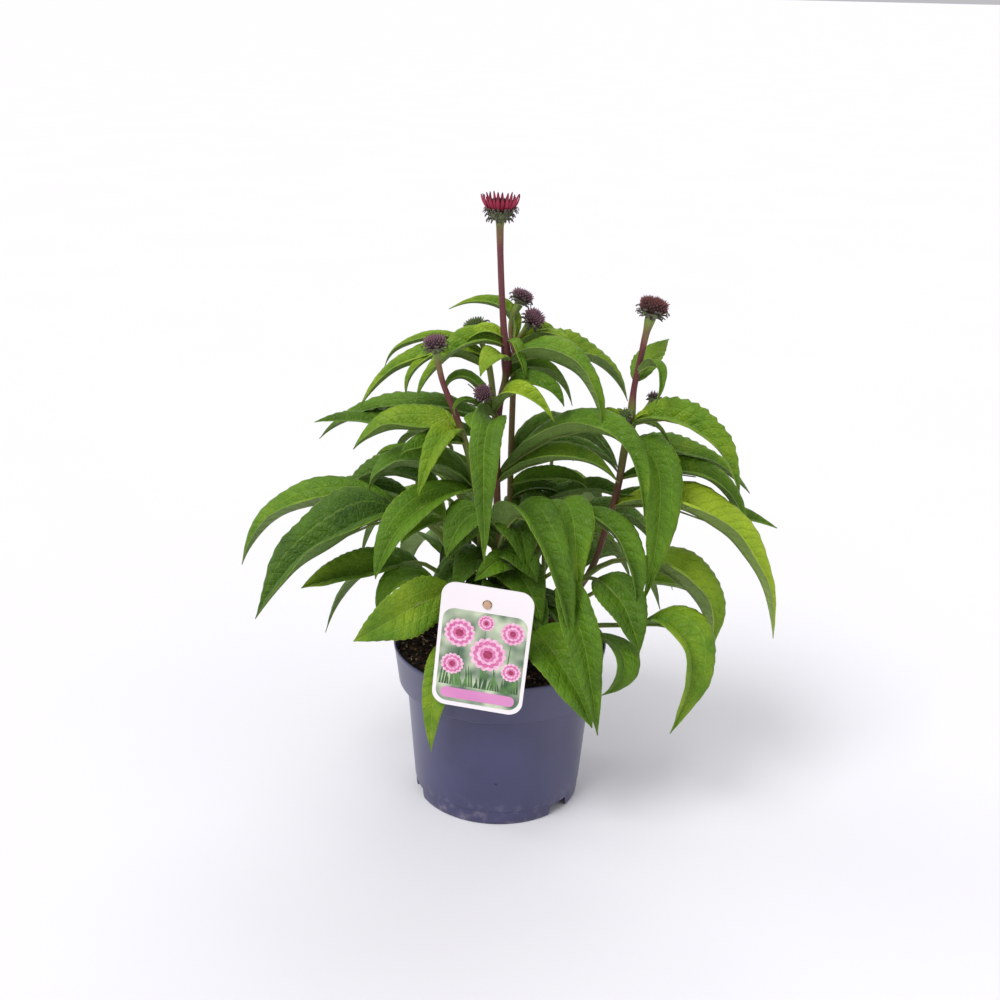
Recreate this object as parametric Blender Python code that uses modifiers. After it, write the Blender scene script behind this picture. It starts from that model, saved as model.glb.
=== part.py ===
"""Purple coneflower in a nursery pot.

Metres, +Z up, the front is -Y. The origin is the middle of the foot pad under the pot, on the
surface that the pot stands on.

The plant is modelled the way it grows. A stem is a tapering tube through a few points. A leaf is a
thin folded blade bent over three points: its foot, the point that its midrib passes half way, and
its tip. Basal leaves stand on long stalks that rise from a growing point in the soil. Everything
that grows from one root is fused into one closed body.
"""
import math
import random

import bmesh
import bpy
from mathutils import Matrix, Vector, noise

MM = 0.001
UP = Vector((0.0, 0.0, 1.0))
FRONT = Vector((0.0, -1.0, 0.0))
CLEARANCE = 0.3 * MM
MERGE = 0.00001

# Pot: a 19 cm nursery container
POT_HEIGHT = 0.146
POT_TOP_RADIUS = 0.095
COLLAR_DEPTH = 0.036
COLLAR_FOOT_RADIUS = 0.0902
BODY_TOP_RADIUS = 0.0832
POT_FOOT_RADIUS = 0.0743
POT_WALL = 0.0016
POT_STEPS = 32
LIP = 0.0006
FLOOR_HEIGHT = 0.010
FOOT_PAD_RADIUS = 0.012
DRAIN_HOLES = 8
DRAIN_RADIUS = 0.005
DRAIN_RING = 0.048
NOTCH_ANGLES = (-41.5, 78.5, 198.5)
NOTCH_WIDTH = 0.026
NOTCH_TOP_WIDTH = 0.020
NOTCH_HEIGHT = 0.0095

# Soil
SOIL_TOP = 0.131
SOIL_EDGE = 0.1335
SOIL_ROUGHNESS = 0.0016
SOIL_STEPS = 26
ROOT_BOTTOM = 0.100
ROOT_TOP = 0.137
HOLE_SIDES = 8
BUNCH_ROOT_RADIUS = 0.006

# Picture label and its stake
CARD_WIDTH = 0.076
CARD_HEIGHT = 0.112
CARD_THICKNESS = 0.0008
CARD_CORNER = 0.010
CARD_CENTRE = (-0.0144, -0.1045, 0.188)
CARD_TURN = -8.0
CARD_LEAN = 4.8
CARD_HOLE_RADIUS = 0.004
CARD_HOLE_DROP = 0.0155
STAKE_WIDTH = 0.0056
STAKE_THICKNESS = 0.0012
STAKE_ROD_RADIUS = 0.0020
PEG_RADIUS = 0.0036

# Leaves
BLADE_THICKNESS = 0.0008
MIDRIB_REACH = 0.13
LARGE_LEAF = 0.120
SMALL_LEAF = 0.070

DARK_PLASTIC = (0.080, 0.080, 0.174)
COMPOST = (0.012, 0.009, 0.007)
CARD_WHITE = (0.90, 0.87, 0.88)
STAKE_BEIGE = (0.70, 0.55, 0.43)
LEAF_GREEN = (0.085, 0.180, 0.022)
BUD_PURPLE = (0.085, 0.045, 0.060)
BUD_GREEN = (0.110, 0.150, 0.050)
RAY_CRIMSON = (0.420, 0.012, 0.060)
BRACT_GREEN = (0.140, 0.140, 0.090)


def clear_scene():
    for obj in list(bpy.data.objects):
        bpy.data.objects.remove(obj)


def new_collection(name):
    collection = bpy.data.collections.new(name)
    bpy.context.scene.collection.children.link(collection)
    return collection


def material(name, colour, roughness):
    mat = bpy.data.materials.new(name)
    mat.use_nodes = True
    shader = mat.node_tree.nodes["Principled BSDF"]
    shader.inputs["Base Color"].default_value = (*colour, 1.0)
    shader.inputs["Roughness"].default_value = roughness
    shader.inputs["Metallic"].default_value = 0.0
    mat.diffuse_color = (*colour, 1.0)
    return mat


def mm(point):
    return Vector(point) * MM


def evaluated_mesh(obj):
    depsgraph = bpy.context.evaluated_depsgraph_get()
    depsgraph.update()
    return bpy.data.meshes.new_from_object(obj.evaluated_get(depsgraph))


def loose_piece(name, mesh):
    obj = bpy.data.objects.new(name, mesh)
    WORKSHOP.objects.link(obj)
    return obj


def piece_from_bmesh(name, bm):
    bmesh.ops.recalc_face_normals(bm, faces=bm.faces)
    mesh = bpy.data.meshes.new(name)
    bm.to_mesh(mesh)
    bm.free()
    return loose_piece(name, mesh)


def applied(obj):
    """The object with its modifiers baked into a new mesh."""
    mesh = evaluated_mesh(obj)
    result = loose_piece(obj.name, mesh)
    result.matrix_world = obj.matrix_world.copy()
    bpy.data.objects.remove(obj)
    return result


def finish(name, obj, mat, sharp_angle=35.0):
    """Names a finished body, gives it its material and moves it to the part's collection."""
    obj.name = name
    obj.data.name = name
    obj.data.materials.clear()
    obj.data.materials.append(mat)
    obj.data.shade_smooth()
    obj.data.set_sharp_from_angle(angle=math.radians(sharp_angle))
    WORKSHOP.objects.unlink(obj)
    PART.objects.link(obj)
    return obj


def drop_scraps(mesh, least_faces=12):
    """Removes any loose scrap that a union left beside the body."""
    bm = bmesh.new()
    bm.from_mesh(mesh)
    unseen = set(bm.verts)
    while unseen:
        island = set()
        front = [unseen.pop()]
        while front:
            vert = front.pop()
            island.add(vert)
            for edge in vert.link_edges:
                other = edge.other_vert(vert)
                if other in unseen:
                    unseen.remove(other)
                    front.append(other)
        faces = {face for vert in island for face in vert.link_faces}
        if len(faces) < least_faces:
            bmesh.ops.delete(bm, geom=list(island), context="VERTS")
    bm.to_mesh(mesh)
    bm.free()


def fuse(name, pieces):
    """Joins overlapping closed pieces into one closed body."""
    body, others = pieces[0], pieces[1:]
    joined = bpy.data.collections.new("joined")
    bpy.context.scene.collection.children.link(joined)
    for piece in others:
        joined.objects.link(piece)
    union = body.modifiers.new("Union", "BOOLEAN")
    union.operation = "UNION"
    union.operand_type = "COLLECTION"
    union.collection = joined
    union.solver = "MANIFOLD"
    mesh = evaluated_mesh(body)
    for piece in pieces:
        bpy.data.objects.remove(piece)
    bpy.data.collections.remove(joined)
    drop_scraps(mesh)
    return loose_piece(name, mesh)


def cut(obj, cutters):
    """Cuts closed cutters out of a body, and keeps the cutters as wire guides."""
    for cutter in cutters:
        WORKSHOP.objects.unlink(cutter)
        CUTTERS.objects.link(cutter)
        cutter.hide_render = True
        cutter.display_type = "WIRE"
        difference = obj.modifiers.new("Cut", "BOOLEAN")
        difference.operation = "DIFFERENCE"
        difference.object = cutter
        difference.solver = "EXACT"


# Plain solids

def turned(name, profile, steps):
    """A solid turned round +Z from a profile of (radius, height), top to bottom."""
    bm = bmesh.new()
    verts = [bm.verts.new((radius, 0.0, height)) for radius, height in profile]
    for first, second in zip(verts, verts[1:]):
        bm.edges.new((first, second))
    mesh = bpy.data.meshes.new(name)
    bm.to_mesh(mesh)
    bm.free()
    obj = loose_piece(name, mesh)
    screw = obj.modifiers.new("Screw", "SCREW")
    screw.steps = steps
    screw.render_steps = steps
    screw.use_merge_vertices = True
    screw.merge_threshold = MERGE
    return applied(obj)


def cone(name, foot, tip, foot_radius, tip_radius, sides):
    """A closed cone or cylinder from one point to another."""
    axis = tip - foot
    bm = bmesh.new()
    bmesh.ops.create_cone(
        bm,
        cap_ends=True,
        cap_tris=False,
        segments=sides,
        radius1=foot_radius,
        radius2=tip_radius,
        depth=axis.length,
    )
    turn = UP.rotation_difference(axis.normalized()).to_matrix().to_4x4()
    bmesh.ops.transform(bm, matrix=Matrix.Translation((foot + tip) / 2) @ turn, verts=bm.verts)
    bmesh.ops.remove_doubles(bm, verts=bm.verts, dist=MERGE)
    return piece_from_bmesh(name, bm)


def tube(name, points, radii, resolution=1):
    """A closed tube of changing radius along the points."""
    curve = bpy.data.curves.new(name, "CURVE")
    curve.dimensions = "3D"
    curve.bevel_depth = 1.0
    curve.bevel_resolution = resolution
    curve.use_fill_caps = True
    spline = curve.splines.new("POLY")
    spline.points.add(len(points) - 1)
    for spot, place, radius in zip(spline.points, points, radii):
        spot.co = (*place, 1.0)
        spot.radius = radius
    guide = loose_piece(name, curve)
    mesh = evaluated_mesh(guide)
    bpy.data.objects.remove(guide)
    bm = bmesh.new()
    bm.from_mesh(mesh)
    bmesh.ops.remove_doubles(bm, verts=bm.verts, dist=MERGE)
    return piece_from_bmesh(name, bm)


# Leaves

def leaf(foot, over, tip, width, fold=40, roll=5, twist=0, wave=0.0, stalk=None):
    """One leaf's sizes, in millimetres and degrees.

    over is the point that the midrib passes half way. fold lifts both halves of the blade off
    flat, like a gutter. roll tips the upper face towards the front, and twist adds to it up to
    the tip. wave is the rise and fall of the edge. stalk is the radius of the stalk.
    """
    return {
        "foot": mm(foot), "over": mm(over), "tip": mm(tip), "width": width * MM,
        "fold": math.radians(fold), "roll": math.radians(roll), "twist": math.radians(twist),
        "wave": wave * MM, "stalk": (stalk or 1.0 + width * 0.015) * MM,
    }


def arching(foot, heading, reach, lift, drop, width, **shape):
    """A leaf that arches out from its foot in a heading, in degrees from +X towards +Y."""
    out = Vector((math.cos(math.radians(heading)), math.sin(math.radians(heading)), 0.0))
    start = Vector(foot)
    over = start + out * reach * 0.5 + UP * lift
    tip = start + out * reach - UP * drop
    return leaf(start, over, tip, width, **shape)


def midrib_point(size, t):
    bend = 2 * size["over"] - (size["foot"] + size["tip"]) / 2
    return size["foot"] * (1 - t) ** 2 + bend * 2 * t * (1 - t) + size["tip"] * t ** 2


def midrib_frame(size, t):
    """Tangent, sideways direction towards the front, and upper face's normal at t."""
    step = 0.01
    tangent = (midrib_point(size, t + step) - midrib_point(size, t - step)).normalized()
    chord = size["tip"] - size["foot"]
    rise = size["over"] - size["foot"]
    side = rise.cross(chord)
    if side.length < 0.06 * chord.length * rise.length:
        side = chord.cross(UP)
    side.normalize()
    if side.dot(FRONT) < 0:
        side = -side
    crest_tangent = (midrib_point(size, 0.35 + step) - midrib_point(size, 0.35 - step)).normalized()
    facing = 1.0 if crest_tangent.cross(side).z >= 0 else -1.0
    normal = tangent.cross(side) * facing
    side = (side - tangent * side.dot(tangent)).normalized()
    turn = size["roll"] + size["twist"] * t
    rolled_side = side * math.cos(turn) - normal * math.sin(turn)
    rolled_normal = normal * math.cos(turn) + side * math.sin(turn)
    return tangent, rolled_side, rolled_normal


def half_width(size, t):
    """Lance-shaped outline, widest a little before the middle, with a long pointed tip."""
    rise, fall = 0.72, 1.05
    peak = rise / (rise + fall)
    level = (max(t, 0.0) ** rise * max(1 - t, 0.0) ** fall) / (peak ** rise * (1 - peak) ** fall)
    return max(size["width"] / 2 * level, 0.45 * MM)


def blade(size):
    """A closed thin blade with a toothed and waved edge."""
    span = (size["tip"] - size["foot"]).length
    stations = 5 if span > LARGE_LEAF else 4 if span > SMALL_LEAF else 3
    bm = bmesh.new()
    bmesh.ops.create_grid(bm, x_segments=stations, y_segments=2, size=0.5)
    for vert in bm.verts:
        t = vert.co.x + 0.5
        edge = vert.co.y * 2
        _, side, normal = midrib_frame(size, t)
        reach = half_width(size, t)
        station = round(t * stations)
        if edge and 0 < station < stations:
            reach *= 1.05 if station % 2 else 0.95
        lift = math.sin(size["fold"]) * reach
        lift += size["wave"] * math.sin(station * 2.1 + edge) * math.sin(math.pi * t)
        place = midrib_point(size, t) + side * edge * math.cos(size["fold"]) * reach
        vert.co = place + normal * abs(edge) * lift
    bmesh.ops.triangulate(bm, faces=bm.faces, quad_method="FIXED")
    sheet = piece_from_bmesh("blade", bm)
    shell = sheet.modifiers.new("Solidify", "SOLIDIFY")
    shell.thickness = BLADE_THICKNESS
    shell.offset = 0.0
    return applied(sheet)


def cauline_leaf(size):
    """A blade that sits on a stem by a short stalk."""
    spots = [midrib_point(size, t * MIDRIB_REACH) for t in (0.0, 1.0)]
    radii = [size["stalk"], 0.5 * MM]
    return [tube("stalk", spots, radii, resolution=0), blade(size)]


def basal_leaf(size, root):
    """A blade on a long stalk that rises from the growing point."""
    foot = size["foot"]
    reach = (foot - root).length
    along = (midrib_point(size, 0.08) - foot).normalized()
    lifted = root + UP * reach * 0.45
    led = foot - along * reach * 0.30
    path = []
    steps = 4
    for step in range(steps):
        t = step / steps
        path.append(root * (1 - t) ** 3 + lifted * 3 * t * (1 - t) ** 2
                    + led * 3 * t ** 2 * (1 - t) + foot * t ** 3)
    path += [midrib_point(size, t * MIDRIB_REACH) for t in (0.0, 1.0)]
    thick = size["stalk"] * 1.25
    radii = [thick] * steps + [size["stalk"], 0.5 * MM]
    return [tube("stalk", path, radii, resolution=0), blade(size)]


# Where each stem and leaf grows, in millimetres

TALL_STEM = [(0, 0, 100), (0, 0, 137), (-2, -3, 224), (-6, -6, 299), (-6, -6, 358), (-1, -6, 388),
             (0, -6, 404), (-3, -6, 431), (-5, -6, 455), (-7, -6, 488), (-8, -6, 519)]
TALL_STEM_RADII = [3.2, 3.2, 3.0, 3.0, 3.2, 2.9, 4.8, 2.8, 2.6, 2.6, 3.6]
SIDE_SHOOT = [(-6, -8, 354), (-12, -17, 369), (-17, -26, 379)]
SIDE_SHOOT_RADII = [2.0, 1.8, 2.6]
TALL_STEM_LEAVES = [
    leaf((-1, -6, 416), (-40, -8, 416), (-77, -14, 371), 36, roll=15),
    leaf((0, -4, 420), (-20, -4, 427), (-38, -6, 416), 18, roll=20),
    leaf((0, -8, 405), (-12, -26, 415), (-22, -38, 400), 22, fold=15, roll=10),
    leaf((1, -6, 402), (49, -20, 406), (82, -40, 357), 42, wave=1.0, roll=15),
    leaf((0, -4, 390), (30, 8, 393), (59, 12, 363), 28, roll=30),
    leaf((-1, -6, 382), (26, -22, 389), (49, -32, 375), 28),
    leaf((-10, -14, 363), (-35, -13, 388), (-52, -16, 380), 22, roll=20),
    leaf((-10, -14, 360), (-33, -28, 374), (-43, -36, 366), 12),
    leaf((-9, -13, 359), (-26, -46, 371), (-18, -70, 358), 17, fold=20),
    leaf((-9, -13, 362), (11, -38, 386), (41, -50, 367), 22),
    leaf((-1, -6, 421), (11, -14, 416), (16, -20, 386), 12, fold=20),
    leaf((-6, -8, 345), (-15, -84, 361), (-14, -110, 264), 36, fold=18, wave=0.8),
    leaf((-6, -4, 300), (-75, 14, 315), (-113, 17, 312), 20, roll=35),
    leaf((-5, -6, 298), (46, -24, 325), (97, -36, 312), 34),
    leaf((-4, -4, 305), (78, -44, 357), (117, -72, 289), 44, wave=1.0, roll=12),
]

LEFT_STEM = [(-12, -12, 100), (-12, -12, 137), (-15, -14, 200), (-21, -18, 267), (-29, -22, 321),
             (-35, -25, 345), (-42, -27, 366), (-51, -29, 389), (-55, -30, 405), (-57, -30, 417)]
LEFT_STEM_RADII = [3.0, 3.0, 2.9, 2.8, 2.8, 3.0, 2.7, 2.5, 2.6, 3.5]
LEFT_STEM_LEAVES = [
    leaf((-36, -25, 346), (-53, -49, 348), (-71, -63, 302), 24, fold=25),
    leaf((-34, -24, 342), (-83, -22, 349), (-129, -15, 329), 46, wave=1.0),
    leaf((-33, -24, 338), (-62, -40, 342), (-86, -50, 337), 26),
    leaf((-23, -19, 292), (-76, -24, 316), (-116, -24, 295), 50, wave=1.2),
    leaf((-24, -20, 296), (-75, -70, 290), (-103, -98, 245), 40, fold=30, roll=12),
]

FORKED_STEM = [(10, 16, 100), (10, 16, 137), (6, 22, 271), (6, 22, 363), (7, 22, 405)]
FORKED_STEM_RADII = [3.0, 3.0, 2.7, 2.6, 3.4]
RIGHT_FORK = [(7, 22, 402), (9, 20, 415), (13, 17, 423), (18, 14, 431)]
RIGHT_FORK_RADII = [2.4, 2.2, 2.4, 3.4]
LEFT_FORK = [(7, 22, 402), (3, 26, 419), (4, 29, 433), (9, 31, 444)]
LEFT_FORK_RADII = [2.4, 2.2, 2.6, 3.8]
FORKED_STEM_LEAVES = [
    leaf((5, 24, 414), (-7, 30, 441), (-50, 26, 442), 22, roll=30),
    leaf((11, 18, 417), (31, 25, 421), (43, 29, 413), 18, roll=15),
    leaf((9, 20, 413), (37, 12, 419), (59, 6, 410), 20),
    leaf((8, 22, 404), (65, 37, 398), (109, 47, 358), 38, wave=0.8, roll=22),
    leaf((6, 22, 300), (62, 44, 311), (106, 54, 286), 28, roll=20),
    leaf((6, 22, 306), (52, 30, 331), (104, 32, 298), 44, wave=1.2, roll=15),
    leaf((6, 22, 285), (44, 8, 298), (75, 4, 290), 26),
    leaf((6, 22, 272), (32, 26, 280), (55, 31, 271), 30),
    leaf((6, 22, 256), (82, 26, 280), (108, 20, 252), 26, roll=18),
]

BACK_STEM = [(-10, 18, 100), (-10, 18, 137), (-6, 30, 249), (-9, 34, 341), (-15, 36, 389),
             (-21, 36, 407), (-25, 36, 416)]
BACK_STEM_RADII = [3.0, 3.0, 2.7, 2.6, 2.8, 2.4, 3.2]
BACK_STEM_LEAVES = [
    leaf((-17, 36, 398), (-70, 38, 410), (-107, 35, 387), 18, roll=20),
    leaf((-14, 36, 392), (-72, 20, 396), (-126, 10, 358), 34, wave=0.6),
    leaf((-13, 36, 384), (-61, 10, 403), (-86, -6, 368), 22),
    leaf((-8, 33, 325), (-105, 42, 331), (-167, 40, 335), 34, fold=30, roll=20),
    leaf((-9, 33, 338), (-98, 58, 340), (-168, 62, 312), 36, roll=35),
]

RIGHT_STEM = [(26, 2, 100), (26, 2, 137), (46, 3, 165), (76, -2, 211), (89, -6, 256), (97, -9, 294),
              (101, -11, 331), (105, -12, 353), (105, -12, 365), (106, -12, 386),
              (110, -12, 412), (113, -12, 431), (116, -12, 445)]
RIGHT_STEM_RADII = [3.4, 3.4, 3.2, 3.0, 2.8, 3.0, 3.4, 4.6, 4.0, 2.6, 2.5, 2.9, 4.6]
GREEN_SHOOT = [(104, -12, 350), (100, -23, 363)]
GREEN_SHOOT_RADII = [1.8, 2.0]
SMALL_SHOOT = [(106, -11, 354), (115, -4, 362), (122, 2, 369)]
SMALL_SHOOT_RADII = [1.8, 1.5, 2.0]
RIGHT_STEM_LEAVES = [
    leaf((104, -12, 343), (93, -4, 358), (81, 0, 363), 13, roll=25),
    leaf((107, -10, 390), (121, 4, 407), (134, 14, 423), 29, fold=12),
    leaf((108, -13, 398), (122, -30, 408), (123, -40, 379), 15),
    leaf((105, -14, 354), (156, -36, 358), (198, -40, 303), 42, wave=1.0),
    leaf((105, -12, 356), (128, -14, 351), (140, -15, 329), 9, stalk=0.9),
    leaf((101, -10, 331), (160, 12, 317), (219, 28, 282), 38, roll=30),
    leaf((102, -12, 336), (128, -44, 313), (120, -56, 208), 40, fold=25, roll=30),
    leaf((98, -8, 304), (173, -6, 303), (212, -9, 248), 34, roll=20),
    leaf((96, -7, 290), (178, 20, 264), (248, 40, 245), 38, roll=15),
    leaf((94, -8, 278), (184, -37, 270), (236, -51, 178), 56, wave=1.2),
]

LEFT_BUNCH_ROOT = (-28, -2)
LEFT_BUNCH = [
    leaf((-55, 10, 281), (-104, 20, 293), (-140, 24, 266), 46, wave=1.0, roll=15),
    leaf((-90, -5, 275), (-174, -8, 270), (-229, -10, 218), 48, wave=0.8),
    leaf((-80, 25, 266), (-127, 33, 271), (-173, 39, 257), 36, roll=12),
    leaf((-85, -30, 272), (-142, -58, 258), (-206, -78, 199), 78, fold=35, wave=1.8),
    leaf((-84, -20, 226), (-128, -32, 218), (-171, -42, 212), 46, roll=10, wave=0.8),
    leaf((-58, -26, 214), (-88, -40, 219), (-107, -50, 192), 30, fold=25, roll=10),
    leaf((-45, -24, 262), (-64, -44, 271), (-85, -62, 262), 20),
]

FRONT_BUNCH_ROOT = (8, -28)
FRONT_BUNCH = [
    leaf((-42, -62, 222), (-78, -86, 212), (-121, -95, 186), 48, fold=12, roll=28, wave=1.0),
    leaf((-38, -66, 176), (-51, -90, 152), (-58, -89, 80), 28, fold=6),
    leaf((-16, -42, 284), (-32, -64, 283), (-47, -76, 256), 34, fold=25),
    leaf((8, -36, 234), (-5, -60, 244), (-23, -70, 233), 24, fold=20),
    leaf((29, -58, 184), (50, -94, 172), (79, -109, 119), 50, fold=18, roll=-8, wave=1.6),
    leaf((50, -66, 236), (66, -103, 202), (83, -112, 113), 34, fold=22),
    leaf((0, -42, 262), (26, -78, 285), (62, -110, 192), 52, fold=30, roll=-6, wave=1.6),
    leaf((-6, -28, 242), (13, -50, 249), (31, -62, 230), 34, fold=18),
    leaf((48, -24, 288), (58, -58, 283), (63, -76, 225), 34, fold=20),
]

RIGHT_BUNCH_ROOT = (38, -14)
RIGHT_BUNCH = [
    leaf((62, -36, 283), (97, -60, 264), (113, -76, 213), 40),
    leaf((118, -18, 232), (163, -34, 209), (182, -46, 159), 66, wave=1.4),
    leaf((120, 18, 197), (168, 26, 187), (197, 33, 165), 34),
    leaf((118, -58, 191), (157, -84, 184), (146, -101, 110), 54, fold=30, roll=12, wave=1.0),
    leaf((80, -44, 226), (101, -74, 217), (117, -86, 177), 40, fold=25),
    leaf((72, -52, 178), (104, -84, 172), (87, -92, 139), 34, fold=20, roll=15),
]

# Leaves at the back follow one rule: headings in even turns, with small seeded changes
BACK_BUNCHES = {
    "basal_leaves_back_left": {"root": (-20, 38), "headings": (95, 178), "shoot": (-48, 64, 306)},
    "basal_leaves_back_right": {"root": (24, 34), "headings": (10, 86), "shoot": (44, 66, 300)},
}
BACK_LEAVES = 4
SHOOT_LEAVES = 3
SHOOT_RADII = [3.0, 3.0, 2.7, 1.6]


def stem_tube(name, points, radii, resolution=1):
    return tube(name, [mm(point) for point in points], [radius * MM for radius in radii], resolution)


def leafy_stem(name, limbs, leaves):
    """A stem with its side limbs and leaves, fused."""
    pieces = [stem_tube(name, points, radii) for points, radii in limbs]
    for size in leaves:
        pieces += cauline_leaf(size)
    return finish(name, fuse(name, pieces), LEAF)


def leaf_bunch(name, root, leaves, others=()):
    """Basal leaves that rise from one growing point, fused with any other pieces."""
    spot = Vector((*root, 0.0)) * MM
    low = spot + UP * ROOT_BOTTOM
    high = spot + UP * (ROOT_TOP + 0.006)
    pieces = [cone("root", low, high, BUNCH_ROOT_RADIUS, BUNCH_ROOT_RADIUS * 0.7, 12)]
    for size in leaves:
        towards = size["foot"] - spot
        towards.z = 0.0
        start = spot + towards.normalized() * BUNCH_ROOT_RADIUS * 0.45 + UP * ROOT_TOP
        pieces += basal_leaf(size, start)
    return finish(name, fuse(name, pieces + list(others)), LEAF)


def back_bunch(name, root, headings, shoot):
    """Basal leaves with one leafy shoot, filling the back of the plant on one side."""
    rng = random.Random(name)
    first, last = headings
    leaves = []
    for index in range(BACK_LEAVES):
        heading = first + (last - first) * index / (BACK_LEAVES - 1) + rng.uniform(-4, 4)
        high = index % 2 == 0
        out = Vector((math.cos(math.radians(heading)), math.sin(math.radians(heading)), 0.0))
        foot = Vector((*root, 0.0)) + out * (38 if high else 48) + UP * (232 if high else 182)
        leaves.append(arching(foot, heading, rng.uniform(96, 112), rng.uniform(8, 14),
                              rng.uniform(48, 62), rng.uniform(40, 52), fold=30, wave=1.0))
    neck = Vector((*root, ROOT_TOP / MM))
    top = Vector(shoot)
    points = [Vector((*root, ROOT_BOTTOM / MM)), neck, neck.lerp(top, 0.5) + UP * 8, top]
    shoot_leaves = []
    for index in range(SHOOT_LEAVES):
        foot = neck.lerp(top, 0.45 + 0.54 * index / (SHOOT_LEAVES - 1))
        heading = first + (last - first) * (index * 0.38 % 1.0)
        size = 1.0 - 0.35 * index / (SHOOT_LEAVES - 1)
        shoot_leaves.append(arching(foot, heading, 92 * size, 14 * size, 34 * size, 38 * size))
    pieces = [stem_tube("shoot", points, SHOOT_RADII)]
    for size in shoot_leaves:
        pieces += cauline_leaf(size)
    return leaf_bunch(name, root, leaves, pieces)


def plant():
    leafy_stem("leafy_stem_tall", [(TALL_STEM, TALL_STEM_RADII), (SIDE_SHOOT, SIDE_SHOOT_RADII)],
               TALL_STEM_LEAVES)
    leafy_stem("leafy_stem_left", [(LEFT_STEM, LEFT_STEM_RADII)], LEFT_STEM_LEAVES)
    leafy_stem("leafy_stem_forked", [(FORKED_STEM, FORKED_STEM_RADII),
                                     (RIGHT_FORK, RIGHT_FORK_RADII),
                                     (LEFT_FORK, LEFT_FORK_RADII)], FORKED_STEM_LEAVES)
    leafy_stem("leafy_stem_back", [(BACK_STEM, BACK_STEM_RADII)], BACK_STEM_LEAVES)
    leafy_stem("leafy_stem_right", [(RIGHT_STEM, RIGHT_STEM_RADII),
                                    (GREEN_SHOOT, GREEN_SHOOT_RADII),
                                    (SMALL_SHOOT, SMALL_SHOOT_RADII)], RIGHT_STEM_LEAVES)
    leaf_bunch("basal_leaves_left", LEFT_BUNCH_ROOT, LEFT_BUNCH)
    leaf_bunch("basal_leaves_front", FRONT_BUNCH_ROOT, FRONT_BUNCH)
    leaf_bunch("basal_leaves_right", RIGHT_BUNCH_ROOT, RIGHT_BUNCH)
    for name, bunch in BACK_BUNCHES.items():
        back_bunch(name, **bunch)


# Flower heads

def head_matrix(limb):
    """Places a head that is modelled round +Z on the end of a limb."""
    below, top = (mm(point) for point in limb[-2:])
    axis = (top - below).normalized()
    base = top + axis * CLEARANCE
    return Matrix.Translation(base) @ UP.rotation_difference(axis).to_matrix().to_4x4()


def place(obj, matrix):
    obj.data.transform(matrix)
    return obj


def golden_spots(count):
    """Evenly spread (angle, share of the radius) pairs, as florets sit on a disc."""
    return [(index * math.radians(137.508), math.sqrt((index + 0.5) / count))
            for index in range(count)]


def bud(name, limb, radius, height, neck, mat, florets=12, bracts=8):
    """A closed head: a drum of stiff florets with pointed bracts round its side."""
    radius, height, neck = radius * MM, height * MM, neck * MM
    profile = [(0.0, height), (radius * 0.50, height * 0.96), (radius * 0.86, height * 0.84),
               (radius, height * 0.58), (radius * 0.92, height * 0.32),
               (radius * 0.60, height * 0.10), (neck, 0.0), (0.0, 0.0)]
    pieces = [turned(name, profile, 9)]
    for angle, share in golden_spots(florets):
        out = Vector((math.cos(angle), math.sin(angle), 0.0))
        level = height * (0.97 - 0.30 * share ** 3)
        foot = out * radius * 0.90 * share + UP * (level - 1.2 * MM)
        tip = foot + (UP * (1 - 0.45 * share) + out * 0.55 * share).normalized() * 3.6 * MM
        pieces.append(cone("floret", foot, tip, 1.1 * MM, 0.0, 3))
    for index in range(bracts):
        angle = index * math.tau / bracts * 2.0 + (math.tau / bracts if index % 2 else 0.0)
        row = index % 2
        out = Vector((math.cos(angle), math.sin(angle), 0.0))
        foot = out * radius * (0.70 if row else 0.84) + UP * height * (0.20 if row else 0.44)
        tip = foot + (out + UP * (-0.15 if row else 0.25)).normalized() * radius * 0.62
        pieces.append(cone("bract", foot, tip, 1.3 * MM, 0.0, 3))
    for piece in pieces:
        place(piece, head_matrix(limb))
    return finish(name, fuse(name, pieces), mat)


BLOOM_CUP_RADIUS = 9.0
BLOOM_CUP_HEIGHT = 7.0
BLOOM_RAYS = 16
BLOOM_BRACTS_A_ROW = 8


def ring_leaf(angle, foot, over, tip, width):
    """A narrow blade in the plane of an angle round +Z; points are (radius, height)."""
    out = Vector((math.cos(angle), math.sin(angle), 0.0))
    spots = [out * radius + UP * level for radius, level in (foot, over, tip)]
    return leaf(*spots, width)


def small_blade(size):
    """A narrow closed blade, flat across, for rays and bracts."""
    bm = bmesh.new()
    bmesh.ops.create_grid(bm, x_segments=2, y_segments=1, size=0.5)
    for vert in bm.verts:
        t = vert.co.x + 0.5
        edge = vert.co.y * 2
        _, side, _ = midrib_frame(size, t)
        reach = size["width"] / 2 * (1.0 - 0.72 * t ** 2.5)
        vert.co = midrib_point(size, t) + side * edge * reach
    bmesh.ops.triangulate(bm, faces=bm.faces, quad_method="FIXED")
    sheet = piece_from_bmesh("ray", bm)
    shell = sheet.modifiers.new("Solidify", "SOLIDIFY")
    shell.thickness = BLADE_THICKNESS
    shell.offset = 0.0
    return applied(sheet)


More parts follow.
